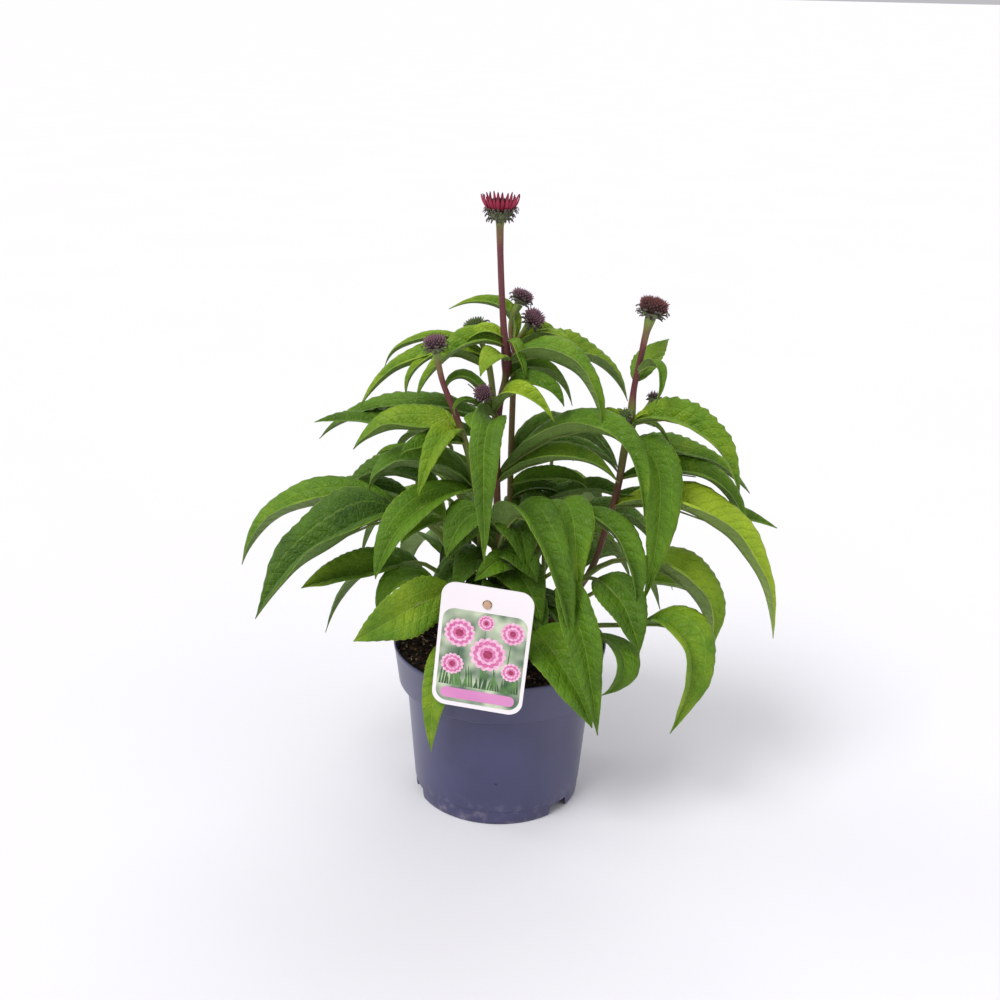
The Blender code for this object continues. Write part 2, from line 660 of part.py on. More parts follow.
def bloom(limb):
    """The opened flower: a cup with three rows of hooked bracts, and upright rays on a disc."""
    cup_radius = BLOOM_CUP_RADIUS * MM
    cup_height = BLOOM_CUP_HEIGHT * MM
    cup = [(0.0, cup_height), (cup_radius, cup_height), (cup_radius, cup_height * 0.7),
           (cup_radius * 0.75, cup_height * 0.3), (3.8 * MM, 0.0), (0.0, 0.0)]
    pieces = [turned("cup", cup, 14)]
    for row, (level, reach, drop) in enumerate(((1.6, 5.0, 2.5), (3.8, 5.5, 1.8), (5.6, 5.0, 0.4))):
        for index in range(BLOOM_BRACTS_A_ROW):
            angle = (index + row / 3) * math.tau / BLOOM_BRACTS_A_ROW
            start = BLOOM_CUP_RADIUS * (0.62 + 0.15 * row)
            pieces.append(small_blade(ring_leaf(
                angle, (start, level), (start + reach * 0.72, level + 0.7),
                (start + reach, level - drop - 1.6), 2.6)))
    for piece in pieces:
        place(piece, head_matrix(limb))
    finish("bloom_bracts", fuse("bloom_bracts", pieces), BRACT)

    base = cup_height + CLEARANCE
    disc = [(0.0, base + 3.4 * MM), (cup_radius * 0.55, base + 3.0 * MM),
            (cup_radius * 0.96, base + 1.6 * MM), (cup_radius * 0.96, base), (0.0, base)]
    pieces = [turned("disc", disc, 14)]
    for index in range(BLOOM_RAYS):
        angle = index * math.tau / BLOOM_RAYS
        low = BLOOM_CUP_HEIGHT + 0.3
        pieces.append(small_blade(ring_leaf(
            angle, (7.6, low + 0.9), (12.4 + index % 2, low + 6.5),
            (14.0 + 1.4 * (index % 3), low + 14.5), 3.3)))
    for angle, share in golden_spots(12):
        out = Vector((math.cos(angle), math.sin(angle), 0.0))
        foot = out * cup_radius * 0.84 * share + UP * (base + (2.4 - 1.4 * share ** 2) * MM)
        tip = foot + (UP + out * 0.3 * share).normalized() * 3.4 * MM
        pieces.append(cone("floret", foot, tip, 1.1 * MM, 0.0, 3))
    for piece in pieces:
        place(piece, head_matrix(limb))
    finish("bloom_rays", fuse("bloom_rays", pieces), RAY)


def heads():
    bloom(TALL_STEM)
    bud("bud_left_stem", LEFT_STEM, 8.6, 13.0, 3.7, PURPLE)
    bud("bud_side_shoot", SIDE_SHOOT, 6.6, 10.0, 2.8, PURPLE)
    bud("bud_right_fork", RIGHT_FORK, 8.2, 12.5, 3.6, PURPLE)
    bud("bud_left_fork", LEFT_FORK, 8.4, 11.5, 4.0, PURPLE)
    bud("bud_back_stem", BACK_STEM, 9.0, 13.0, 3.4, GREEN)
    bud("bud_right_stem", RIGHT_STEM, 11.2, 16.0, 4.8, PURPLE, florets=16, bracts=9)
    bud("bud_green_shoot", GREEN_SHOOT, 4.6, 7.5, 2.2, GREEN, florets=5, bracts=6)
    bud("bud_small_shoot", SMALL_SHOOT, 5.0, 8.5, 2.2, PURPLE, florets=6, bracts=6)


# Pot, soil and label

def pot():
    """The moulded container: collar, tapering body, raised floor and foot pad."""
    collar_foot = POT_HEIGHT - COLLAR_DEPTH
    inner_floor = FLOOR_HEIGHT + POT_WALL
    profile = [
        (0.0, inner_floor),
        (POT_FOOT_RADIUS - POT_WALL, inner_floor),
        (BODY_TOP_RADIUS - POT_WALL, collar_foot),
        (COLLAR_FOOT_RADIUS - POT_WALL, collar_foot + POT_WALL),
        (POT_TOP_RADIUS - POT_WALL, POT_HEIGHT),
        (POT_TOP_RADIUS - LIP, POT_HEIGHT),
        (POT_TOP_RADIUS, POT_HEIGHT - LIP),
        (COLLAR_FOOT_RADIUS, collar_foot),
        (BODY_TOP_RADIUS, collar_foot - POT_WALL),
        (POT_FOOT_RADIUS + LIP, LIP * 4),
        (POT_FOOT_RADIUS, 0.0),
        (POT_FOOT_RADIUS - POT_WALL, 0.0),
        (POT_FOOT_RADIUS - POT_WALL, FLOOR_HEIGHT),
        (FOOT_PAD_RADIUS * 1.15, FLOOR_HEIGHT),
        (FOOT_PAD_RADIUS, 0.0),
        (0.0, 0.0),
    ]
    body = turned("pot", profile, POT_STEPS)
    cutters = []
    for angle in NOTCH_ANGLES:
        cutters.append(notch_cutter(math.radians(angle)))
    for index in range(DRAIN_HOLES):
        angle = (index + 0.5) * math.tau / DRAIN_HOLES
        spot = Vector((math.cos(angle), math.sin(angle), 0.0)) * DRAIN_RING
        low = spot + UP * FLOOR_HEIGHT * 0.5
        high = spot + UP * FLOOR_HEIGHT * 1.6
        cutters.append(cone("drain_cutter", low, high, DRAIN_RADIUS, DRAIN_RADIUS, 10))
    cut(body, cutters)
    return finish("pot", body, PLASTIC)


def notch_cutter(angle):
    """A wedge that opens the foot ring, narrower at the top."""
    bm = bmesh.new()
    bmesh.ops.create_cube(bm, size=1.0)
    for vert in bm.verts:
        width = NOTCH_TOP_WIDTH if vert.co.z > 0 else NOTCH_WIDTH
        depth = 0.012 * vert.co.x + POT_FOOT_RADIUS - 0.001
        height = NOTCH_HEIGHT if vert.co.z > 0 else -0.004
        vert.co = (depth, vert.co.y * width, height)
    bmesh.ops.rotate(bm, matrix=Matrix.Rotation(angle, 3, "Z"), verts=bm.verts)
    return piece_from_bmesh("notch_cutter", bm)


def roots():
    """Place and radius of everything that stands in the soil."""
    found = []
    for points, radii in ((TALL_STEM, TALL_STEM_RADII), (LEFT_STEM, LEFT_STEM_RADII),
                          (FORKED_STEM, FORKED_STEM_RADII), (BACK_STEM, BACK_STEM_RADII),
                          (RIGHT_STEM, RIGHT_STEM_RADII)):
        found.append((points[0][:2], radii[0] * MM))
    bunches = [LEFT_BUNCH_ROOT, FRONT_BUNCH_ROOT, RIGHT_BUNCH_ROOT]
    bunches += [bunch["root"] for bunch in BACK_BUNCHES.values()]
    found += [(spot, BUNCH_ROOT_RADIUS) for spot in bunches]
    return found


def soil():
    """The root ball, with an uneven top and a plain hole for every root and the stake."""
    collar_foot = POT_HEIGHT - COLLAR_DEPTH
    floor = FLOOR_HEIGHT + POT_WALL + CLEARANCE
    wall = POT_WALL + CLEARANCE * 2.2
    collar_taper = (POT_TOP_RADIUS - COLLAR_FOOT_RADIUS) / COLLAR_DEPTH
    edge_radius = COLLAR_FOOT_RADIUS + collar_taper * (SOIL_EDGE - collar_foot) - wall
    profile = [
        (0.0, SOIL_TOP), (0.022, SOIL_TOP), (0.050, SOIL_TOP), (0.076, SOIL_TOP),
        (edge_radius, SOIL_EDGE),
        (COLLAR_FOOT_RADIUS - wall, collar_foot + wall + CLEARANCE),
        (BODY_TOP_RADIUS - wall, collar_foot + CLEARANCE),
        (POT_FOOT_RADIUS - wall, floor),
        (0.0, floor),
    ]
    body = turned("soil", profile, SOIL_STEPS)
    for vert in body.data.vertices:
        spread = math.hypot(vert.co.x, vert.co.y)
        if vert.co.z > SOIL_TOP - MM and spread < edge_radius - MM:
            vert.co.z += SOIL_ROUGHNESS * noise.noise(vert.co * 60.0)
    cutters = []
    for (x, y), radius in roots():
        spot = Vector((x, y, 0.0)) * MM
        wide = (radius + CLEARANCE) / math.cos(math.pi / HOLE_SIDES)
        low = spot + UP * (ROOT_BOTTOM - CLEARANCE)
        cutters.append(cone("root_cutter", low, spot + UP * POT_HEIGHT, wide, wide, HOLE_SIDES))
    cutters.append(stake_bar("stake_cutter", STAKE_FOOT - UP * CLEARANCE, STAKE_FOOT + UP * 0.06,
                             CLEARANCE))
    cut(body, cutters)
    return finish("soil", body, SOIL)


STAKE_FOOT = Vector((-0.009, -0.072, 0.090))


def stake_bar(name, low, high, allowance=0.0):
    """An upright flat bar between two heights."""
    bm = bmesh.new()
    bmesh.ops.create_cube(bm, size=1.0)
    size = Vector((STAKE_WIDTH + 2 * allowance, STAKE_THICKNESS + 2 * allowance, high.z - low.z))
    bmesh.ops.scale(bm, vec=size, verts=bm.verts)
    bmesh.ops.translate(bm, vec=(low + high) / 2, verts=bm.verts)
    return piece_from_bmesh(name, bm)


def card_matrix():
    return (Matrix.Translation(CARD_CENTRE)
            @ Matrix.Rotation(math.radians(CARD_TURN), 4, "Z")
            @ Matrix.Rotation(math.radians(CARD_LEAN), 4, "Y"))


def label_card():
    """A thin card with round corners and a hole near its top."""
    bm = bmesh.new()
    bmesh.ops.create_cube(bm, size=1.0)
    bmesh.ops.scale(bm, vec=(CARD_WIDTH, CARD_THICKNESS, CARD_HEIGHT), verts=bm.verts)
    corners = [edge for edge in bm.edges if abs(edge.verts[0].co.y - edge.verts[1].co.y) > MERGE]
    bmesh.ops.bevel(bm, geom=corners, offset=CARD_CORNER, segments=6, profile=0.5,
                    affect="EDGES", material=-1)
    card = piece_from_bmesh("card", bm)
    hole = Vector((0.0, 0.0, CARD_HEIGHT / 2 - CARD_HOLE_DROP))
    away = FRONT * 0.01
    cutter = cone("card_cutter", hole - away, hole + away, CARD_HOLE_RADIUS, CARD_HOLE_RADIUS, 16)
    for piece in (card, cutter):
        place(piece, card_matrix())
    cut(card, [cutter])
    return finish("label_card", card, CARD)


def label_stake():
    """A flat stake that stands in the soil behind the card, with a peg through the card's hole."""
    hole = card_matrix() @ Vector((0.0, 0.0, CARD_HEIGHT / 2 - CARD_HOLE_DROP))
    toward = card_matrix().to_3x3() @ FRONT
    neck = hole - toward * 0.010
    top = STAKE_FOOT + UP * (0.055)
    path = [top - UP * 0.004, top + UP * 0.010, neck.lerp(top, 0.5), neck, hole + toward * 0.0015]
    bar = stake_bar("stake", STAKE_FOOT, top)
    rod = tube("rod", path, [STAKE_ROD_RADIUS] * 3 + [PEG_RADIUS] * 2)
    return finish("label_stake", fuse("label_stake", [bar, rod]), STAKE)


clear_scene()
PART = new_collection("purple_coneflower")
CUTTERS = new_collection("cutters")
WORKSHOP = new_collection("workshop")
PLASTIC = material("pot_plastic", DARK_PLASTIC, 0.35)
SOIL = material("compost", COMPOST, 0.95)
CARD = material("label_card", CARD_WHITE, 0.45)
STAKE = material("label_stake", STAKE_BEIGE, 0.5)
LEAF = material("leaf", LEAF_GREEN, 0.5)
PURPLE = material("bud_purple", BUD_PURPLE, 0.7)
GREEN = material("bud_green", BUD_GREEN, 0.7)
RAY = material("ray_crimson", RAY_CRIMSON, 0.5)
BRACT = material("bract_green", BRACT_GREEN, 0.7)

pot()
soil()
label_card()
label_stake()
plant()
heads()
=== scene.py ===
"""Purple coneflower in a nursery pot, finished over the part's solids.

Every leaf follows the same three points as its solid: its foot, the point that its midrib passes
half way, and its tip, in millimetres. -Y is the front.
"""

import math
import random

import bmesh
import bpy
from mathutils import Matrix, Vector, noise


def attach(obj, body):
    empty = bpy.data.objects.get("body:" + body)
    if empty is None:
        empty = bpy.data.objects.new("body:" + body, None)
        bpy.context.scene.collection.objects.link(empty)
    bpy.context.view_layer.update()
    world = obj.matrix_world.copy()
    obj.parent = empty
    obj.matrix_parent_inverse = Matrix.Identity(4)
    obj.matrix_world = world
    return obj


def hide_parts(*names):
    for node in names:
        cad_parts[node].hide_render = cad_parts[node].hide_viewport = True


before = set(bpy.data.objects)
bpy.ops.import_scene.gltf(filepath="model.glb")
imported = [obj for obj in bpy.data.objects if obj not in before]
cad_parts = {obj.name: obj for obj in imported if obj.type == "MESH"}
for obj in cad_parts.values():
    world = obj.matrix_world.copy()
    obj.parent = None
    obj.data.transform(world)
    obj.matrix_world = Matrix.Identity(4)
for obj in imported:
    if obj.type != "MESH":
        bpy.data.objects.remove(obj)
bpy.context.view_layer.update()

# Small bends of the leaves and crumbs of the soil come out alike on every run
noise.seed_set(19)

MM = 0.001
UP = Vector((0.0, 0.0, 1.0))
FRONT = Vector((0.0, -1.0, 0.0))
ROOT_TOP = 0.137
CLEARANCE = 0.3 * MM
LEAF_THICKNESS = 0.45 * MM
SIDE_VEIN_GAP = 10 * MM
RUFFLE = 11 * MM
LEAF_BEND = 2.4 * MM
EDGE_BEND = 0.5 * MM
TIP_CURL = 70 * MM
ROOT_SPREAD = 2.7 * MM
LEAF_UNIT = 100 * MM


def mm(point):
    return Vector(point) * MM


def outward(degrees):
    """The level direction at an angle from +X towards +Y."""
    return Vector((math.cos(math.radians(degrees)), math.sin(math.radians(degrees)), 0.0))


# Colours and materials

def linear(hex_value):
    """Linear colour of an sRGB hex value."""
    parts = [int(hex_value[i:i + 2], 16) / 255 for i in (0, 2, 4)]
    return [p / 12.92 if p <= 0.04045 else ((p + 0.055) / 1.055) ** 2.4 for p in parts] + [1.0]


def add(tree, kind, inputs=None, out=0, stops=(), **settings):
    """Adds a node: its settings, its inputs as values or links, and a ramp's stops.

    Gives back its output 'out', or the node where out is None.
    """
    node = tree.nodes.new("ShaderNode" + kind)
    for name, value in settings.items():
        setattr(node, name, value)
    for key, value in (inputs or {}).items():
        if isinstance(value, bpy.types.NodeSocket):
            tree.links.new(value, node.inputs[key])
        else:
            node.inputs[key].default_value = value
    if stops:
        ramp = node.color_ramp.elements
        while len(ramp) < len(stops):
            ramp.new(0.5)
        for element, (place, value) in zip(ramp, stops):
            element.position = place
            element.color = linear(value)
    return node if out is None else node.outputs[out]


def cells(size):
    """The scale of a pattern whose cells are so many millimetres across."""
    return 1 / (size * MM)


def new_material(name, roughness, **shader_values):
    mat = bpy.data.materials.new(name)
    mat.use_nodes = True
    shader = mat.node_tree.nodes["Principled BSDF"]
    shader.inputs["Roughness"].default_value = roughness
    for key, value in shader_values.items():
        shader.inputs[key.replace("_", " ")].default_value = value
    return mat, mat.node_tree


def finish_surface(mat, colour, height=None, strength=0.0, depth=0.0, **links):
    """Leads a colour, a relief as deep as 'depth', and other patterns to the shader."""
    tree = mat.node_tree
    shader = tree.nodes["Principled BSDF"]
    links["Base Color"] = colour
    if height:
        links["Normal"] = add(tree, "Bump", {"Height": height, "Strength": strength,
                                             "Distance": depth})
    for key, socket in links.items():
        tree.links.new(socket, shader.inputs[key])
    return mat


def leaf_surface(name, dark, middle, light, vein, vein_depth, roughness, vein_share):
    """Living leaf, rough and quilted: the eye gets a dull sheen broken up by a net of paler
    veins, and a green that drifts from dark to yellow.

    The UV map is in units of 100 mm along and across the leaf. 'across' runs from -1 to 1
    between the edges, and 'tint' moves the whole leaf from dark to yellow-green.
    """
    soft = {"interpolation_type": "SMOOTHSTEP"}
    mat, tree = new_material(name, roughness, Specular_IOR_Level=0.27)
    uv = add(tree, "UVMap", uv_map="UVMap")
    place = add(tree, "TexCoord", out="Object")
    across = add(tree, "Attribute", out="Fac", attribute_name="across")
    tint = add(tree, "Attribute", out="Fac", attribute_name="tint")
    parts = add(tree, "SeparateXYZ", {0: uv}, out=None)
    side = add(tree, "Math", {0: parts.outputs["Y"]}, operation="ABSOLUTE")
    edge = add(tree, "Math", {0: across}, operation="ABSOLUTE")

    # Midrib 1.3 mm wide
    midrib = add(tree, "MapRange", {0: side, 1: 0.003, 2: 0.009, 3: 1.0, 4: 0.0}, **soft)
    # One long vein in each half, from foot to tip
    off_vein = add(tree, "Math", {0: edge, 1: 0.46}, operation="SUBTRACT")
    off_vein = add(tree, "Math", {0: off_vein}, operation="ABSOLUTE")
    long_vein = add(tree, "MapRange", {0: off_vein, 1: 0.0, 2: 0.045, 3: 0.7, 4: 0.0}, **soft)
    # Side veins sweep towards the tip
    sweep = add(tree, "Math", {0: side, 1: -0.9, 2: parts.outputs["X"]}, operation="MULTIPLY_ADD")
    wobble = add(tree, "TexNoise", {"Vector": uv, "Scale": 9.0, "Detail": 1.0})
    sweep = add(tree, "Math", {0: wobble, 1: 0.05, 2: sweep}, operation="MULTIPLY_ADD")
    turn = add(tree, "Math", {0: sweep, 1: math.pi * LEAF_UNIT / SIDE_VEIN_GAP},
               operation="MULTIPLY")
    turn = add(tree, "Math", {0: turn}, operation="SINE")
    turn = add(tree, "Math", {0: turn}, operation="ABSOLUTE")
    side_vein = add(tree, "MapRange", {0: turn, 1: 0.0, 2: 0.22, 3: 0.65, 4: 0.0}, **soft)
    # Net of fine veins, 3.57 mm across; the real net is half as wide, too fine to show
    net = add(tree, "TexVoronoi", {"Vector": uv, "Scale": cells(3.57) * LEAF_UNIT},
              feature="DISTANCE_TO_EDGE")
    net_vein = add(tree, "MapRange", {0: net, 1: 0.0, 2: 0.10, 3: 0.30, 4: 0.0}, **soft)
    veins = midrib
    for other in (long_vein, side_vein, net_vein):
        veins = add(tree, "Math", {0: veins, 1: other}, operation="MAXIMUM")

    # Mottling in patches and in freckles
    broad = add(tree, "TexNoise", {"Vector": place, "Scale": cells(30.3), "Detail": 2.0})
    fine = add(tree, "TexNoise", {"Vector": place, "Scale": cells(4.76), "Detail": 2.0})
    level = add(tree, "Math", {0: fine, 1: 0.25, 2: broad}, operation="MULTIPLY_ADD")
    level = add(tree, "Math", {0: level, 1: 0.5, 2: 0.19}, operation="MULTIPLY_ADD")
    level = add(tree, "Math", {0: tint, 1: 0.38, 2: level}, operation="MULTIPLY_ADD")
    green = add(tree, "ValToRGB", {0: level}, stops=[(0.15, dark), (0.50, middle), (0.88, light)])
    share = add(tree, "Math", {0: veins, 1: vein_share}, operation="MULTIPLY")
    shown = add(tree, "Mix", {0: share, 6: green, 7: linear(vein)}, 2, data_type="RGBA")
    rim = add(tree, "MapRange", {0: edge, 1: 0.95, 2: 1.0, 3: 0.0, 4: 0.5})
    shown = add(tree, "Mix", {0: rim, 6: shown, 7: linear(light)}, 2, data_type="RGBA")

    # Veins lie in grooves above and stand proud below; the fields between them bulge
    bulge = add(tree, "MapRange", {0: net, 1: 0.0, 2: 0.35, 3: 0.0, 4: 0.45}, **soft)
    bulge = add(tree, "Math", {0: turn, 1: 0.8, 2: bulge}, operation="MULTIPLY_ADD")
    relief = add(tree, "Math", {0: veins, 1: -0.9, 2: bulge}, operation="MULTIPLY_ADD")
    relief = add(tree, "Math", {0: fine, 1: 0.3, 2: relief}, operation="MULTIPLY_ADD")
    return finish_surface(mat, shown, relief, 0.7, vein_depth)


def stem_surface():
    """Living stem, ribbed lengthwise and bristly: the eye gets green flushed with dark red in
    streaks, and a pale speckle of bristles, drawn wider than real so that they show.

    'tone' is 0 where the stem is green and 1 where it is red.
    """
    mat, tree = new_material("living_stem", 0.55, Specular_IOR_Level=0.35)
    uv = add(tree, "UVMap", uv_map="UVMap")
    place = add(tree, "TexCoord", out="Object")
    tone = add(tree, "Attribute", out="Fac", attribute_name="tone")
    streaks = add(tree, "Mapping", {"Vector": uv, "Scale": (6.0, 9.0, 1.0)})
    streaks = add(tree, "TexNoise", {"Vector": streaks, "Scale": 1.0, "Detail": 3.0})
    bristles = add(tree, "TexNoise", {"Vector": place, "Scale": cells(0.667), "Detail": 1.0})
    flush = add(tree, "Math", {0: streaks, 1: 0.45, 2: tone}, operation="MULTIPLY_ADD")
    flush = add(tree, "Math", {0: flush, 1: 0.7}, operation="MULTIPLY")
    skin = add(tree, "ValToRGB", {0: flush},
               stops=[(0.16, "7C9446"), (0.40, "77703C"), (0.62, "6C3638"), (0.90, "4E2329")])
    pale = add(tree, "MapRange", {0: bristles, 1: 0.62, 2: 0.72, 3: 0.0, 4: 0.35})
    shown = add(tree, "Mix", {0: pale, 6: skin, 7: linear("B59A92")}, 2, data_type="RGBA")
    height = add(tree, "Math", {0: bristles, 1: 0.5, 2: streaks}, operation="MULTIPLY_ADD")
    return finish_surface(mat, shown, height, 0.5, 0.4 * MM)


def head_surface(name, low, high, tip, roughness=0.6):
    """Stiff dry florets or bracts: the eye gets a matt point, dark at its foot and tip.

    'tone' runs from 0 at their foot to 1 at their tip.
    """
    mat, tree = new_material(name, roughness, Specular_IOR_Level=0.35)
    tone = add(tree, "Attribute", out="Fac", attribute_name="tone")
    place = add(tree, "TexCoord", out="Object")
    grain = add(tree, "TexNoise", {"Vector": place, "Scale": cells(1.43), "Detail": 2.0})
    level = add(tree, "Math", {0: grain, 1: 0.5, 2: tone}, operation="MULTIPLY_ADD")
    level = add(tree, "Math", {0: level, 1: 0.25}, operation="SUBTRACT")
    shown = add(tree, "ValToRGB", {0: level}, stops=[(0.08, low), (0.5, high), (0.92, tip)])
    return finish_surface(mat, shown, grain, 0.4, 0.3 * MM)


def ray_surface():
    """Young petal: the eye gets satin crimson in fine lengthwise ribs, dark at foot and tip."""
    mat, tree = new_material("ray_petal", 0.5, Specular_IOR_Level=0.3)
    uv = add(tree, "UVMap", uv_map="UVMap")
    tone = add(tree, "Attribute", out="Fac", attribute_name="tone")
    ribs = add(tree, "TexWave", {"Vector": uv, "Scale": 0.5, "Distortion": 0.6}, "Fac",
               bands_direction="Y")
    level = add(tree, "Math", {0: ribs, 1: 0.18, 2: tone}, operation="MULTIPLY_ADD")
    level = add(tree, "Math", {0: level, 1: 0.85}, operation="MULTIPLY")
    shown = add(tree, "ValToRGB", {0: level},
                stops=[(0.0, "46121E"), (0.30, "8C1A38"), (0.72, "A62A4A"), (1.0, "52222E")])
    return finish_surface(mat, shown, ribs, 0.4, 0.3 * MM)


def pot_surface():
    """Injection-moulded polypropylene: the eye gets satin slate violet with a soft, slightly
    cloudy sheen, fine scuffs, and dust and specks of soil towards the foot.
    """
    mat, tree = new_material("moulded_polypropylene", 0.30, Specular_IOR_Level=0.6)
    place = add(tree, "TexCoord", out="Object")
    height = add(tree, "SeparateXYZ", {0: place}, "Z")
    haze = add(tree, "TexNoise", {"Vector": place, "Scale": cells(45.5), "Detail": 4.0})
    base = add(tree, "ValToRGB", {0: haze}, stops=[(0.3, "38385C"), (0.7, "414168")])
    # Dust in the lowest 28 mm
    low = add(tree, "MapRange", {0: height, 1: 0.0, 2: 28 * MM, 3: 1.0, 4: 0.0})
    dust = add(tree, "TexNoise", {"Vector": place, "Scale": cells(8.33), "Detail": 4.0})
    dust = add(tree, "MapRange", {0: dust, 1: 0.50, 2: 0.68, 3: 0.0, 4: 0.7})
    dust = add(tree, "Math", {0: dust, 1: low}, operation="MULTIPLY")
    shown = add(tree, "Mix", {0: dust, 6: base, 7: linear("7C7486")}, 2, data_type="RGBA")
    # A speck of up to 2 mm in one cell of six
    specks = add(tree, "TexVoronoi", {"Vector": place, "Scale": cells(13.33)}, out=None)
    near = add(tree, "MapRange", {0: specks.outputs["Distance"], 1: 0.06, 2: 0.11, 3: 1.0, 4: 0.0})
    rare = add(tree, "SeparateXYZ", {0: specks.outputs["Color"]}, "X")
    rare = add(tree, "Math", {0: rare, 1: 0.82}, operation="GREATER_THAN")
    speck = add(tree, "Math", {0: near, 1: rare}, operation="MULTIPLY")
    shown = add(tree, "Mix", {0: speck, 6: shown, 7: linear("231A14")}, 2, data_type="RGBA")
    scuff = add(tree, "TexNoise", {"Vector": place, "Scale": cells(1.11), "Detail": 2.0})
    rough = add(tree, "MapRange", {0: haze, 3: 0.24, 4: 0.38})
    return finish_surface(mat, shown, scuff, 0.12, 0.2 * MM, Roughness=rough)


def compost_surface():
    """Peat and bark compost: the eye gets damp near-black crumbs with a few pale flecks."""
    mat, tree = new_material("peat_compost", 0.95, Specular_IOR_Level=0.2)
    place = add(tree, "TexCoord", out="Object")
    crumbs = add(tree, "TexVoronoi", {"Vector": place, "Scale": cells(2.38)}, "Color")
    pick = add(tree, "SeparateXYZ", {0: crumbs}, "X")
    shown = add(tree, "ValToRGB", {0: pick},
                stops=[(0.0, "0E0A08"), (0.7, "1E1510"), (0.92, "4A3020"), (0.99, "9C8468")])
    grit = add(tree, "TexNoise", {"Vector": place, "Scale": cells(2.0), "Detail": 5.0})
    return finish_surface(mat, shown, grit, 1.0, 1.2 * MM)


def clouded_surface(name, first, second, roughness, size, **shader_values):
    """Card, ink, plastic or paint: the eye gets a smooth sheet, softly shaded in two colours."""
    mat, tree = new_material(name, roughness, **shader_values)
    place = add(tree, "TexCoord", out="Object")
    cloud = add(tree, "TexNoise", {"Vector": place, "Scale": cells(size), "Detail": 1.0})
    return finish_surface(mat, add(tree, "ValToRGB", {0: cloud},
                                   stops=[(0.35, first), (0.65, second)]))


# Pieces

def plain_piece(bm, name, mats=()):
    """An object at the origin, with its place in its mesh."""
    mesh = bpy.data.meshes.new(name)
    bm.to_mesh(mesh)
    bm.free()
    for mat in mats:
        mesh.materials.append(mat)
    piece = bpy.data.objects.new(name, mesh)
    bpy.context.scene.collection.objects.link(piece)
    return piece


def stand_for(piece, node):
    """The piece rides on the part and stands for one of its solids."""
    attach(piece, "root")
    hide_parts(node)


def finish_piece(bm, node, mats):
    stand_for(plain_piece(bm, node + "_finished", mats), node)


def cut_away(piece, tool):
    """Takes the closed shape 'tool' out of a piece's mesh."""
    cutter = plain_piece(tool, "cutter")
    step = piece.modifiers.new("Cut", "BOOLEAN")
    step.operation = "DIFFERENCE"
    step.object = cutter
    step.solver = "EXACT"
    graph = bpy.context.evaluated_depsgraph_get()
    made = bpy.data.meshes.new_from_object(piece.evaluated_get(graph))
    piece.modifiers.clear()
    piece.data = made
    bpy.data.objects.remove(cutter)


def turned(profile, steps):
    """A closed body turned round +Z from a profile of (radius, height), top to bottom."""
    bm = bmesh.new()
    verts = [bm.verts.new((radius, 0.0, height)) for radius, height in profile]
    edges = [bm.edges.new(pair) for pair in zip(verts, verts[1:])]
    bmesh.ops.spin(bm, geom=verts + edges, cent=(0, 0, 0), axis=(0, 0, 1), angle=math.tau,
                   steps=steps, use_merge=True)
    bmesh.ops.remove_doubles(bm, verts=bm.verts, dist=0.01 * MM)
    bmesh.ops.recalc_face_normals(bm, faces=bm.faces)
    return bm


def add_layers(bm):
    """Adds what the plant's materials read: a UV map and three values."""
    bm.loops.layers.uv.new("UVMap")
    for name in ("across", "tint", "tone"):
        bm.verts.layers.float.new(name)


def set_value(bm, vert, name, value):
    vert[bm.verts.layers.float[name]] = value


def faces_of(verts):
    return list({face for vert in verts for face in vert.link_faces})


def open_edges(verts):
    return [edge for edge in {edge for vert in verts for edge in vert.link_edges}
            if edge.is_boundary]


def unwrap(bm, faces, spots, slot):
    """Shades faces smooth in a material, with the UV spot of each vertex."""
    uv = bm.loops.layers.uv["UVMap"]
    for face in faces:
        face.smooth = True
        face.material_index = slot
        for loop in face.loops:
            loop[uv].uv = spots[loop.vert]


# Leaves

def leaf(foot, over, tip, width, fold=40, roll=5, wave=0.0, stalk=None, tint=0.0, quilt=0.5,
         teeth=0.03):
    """One leaf's sizes, in millimetres and degrees, and its look.

    tint runs from -1, dark, to 1, yellow-green; quilt is how far the fields between the veins
    bulge, in millimetres; teeth is the depth of the teeth as a share of half the width.
    """
    return {
        "foot": mm(foot), "over": mm(over), "tip": mm(tip), "width": width * MM,
        "fold": math.radians(fold), "roll": math.radians(roll), "wave": wave * MM,
        "stalk": (stalk or 1.0 + width * 0.015) * MM, "tint": tint, "quilt": quilt * MM,
        "teeth": teeth, "twist": math.radians(9) * math.sin(tip[0] * 0.7 + tip[2] * 0.4),
    }


def midrib_point(size, t):
    bend = 2 * size["over"] - (size["foot"] + size["tip"]) / 2
    return size["foot"] * (1 - t) ** 2 + bend * 2 * t * (1 - t) + size["tip"] * t ** 2


def midrib_frame(size, t):
    """Tangent, sideways direction towards the front, and upper face's normal at t."""
    step = 0.01
    tangent = (midrib_point(size, t + step) - midrib_point(size, t - step)).normalized()
    chord = size["tip"] - size["foot"]
    rise = size["over"] - size["foot"]
    side = rise.cross(chord)
    if side.length < 0.06 * chord.length * rise.length:
        side = chord.cross(UP)
    side.normalize()
    if side.dot(FRONT) < 0:
        side = -side
    crest = (midrib_point(size, 0.35 + step) - midrib_point(size, 0.35 - step)).normalized()
    facing = 1.0 if crest.cross(side).z >= 0 else -1.0
    normal = tangent.cross(side) * facing
    side = (side - tangent * side.dot(tangent)).normalized()
    turn = size["roll"] + size["twist"] * t
    rolled_side = side * math.cos(turn) - normal * math.sin(turn)
    rolled_normal = normal * math.cos(turn) + side * math.sin(turn)
    return tangent, rolled_side, rolled_normal


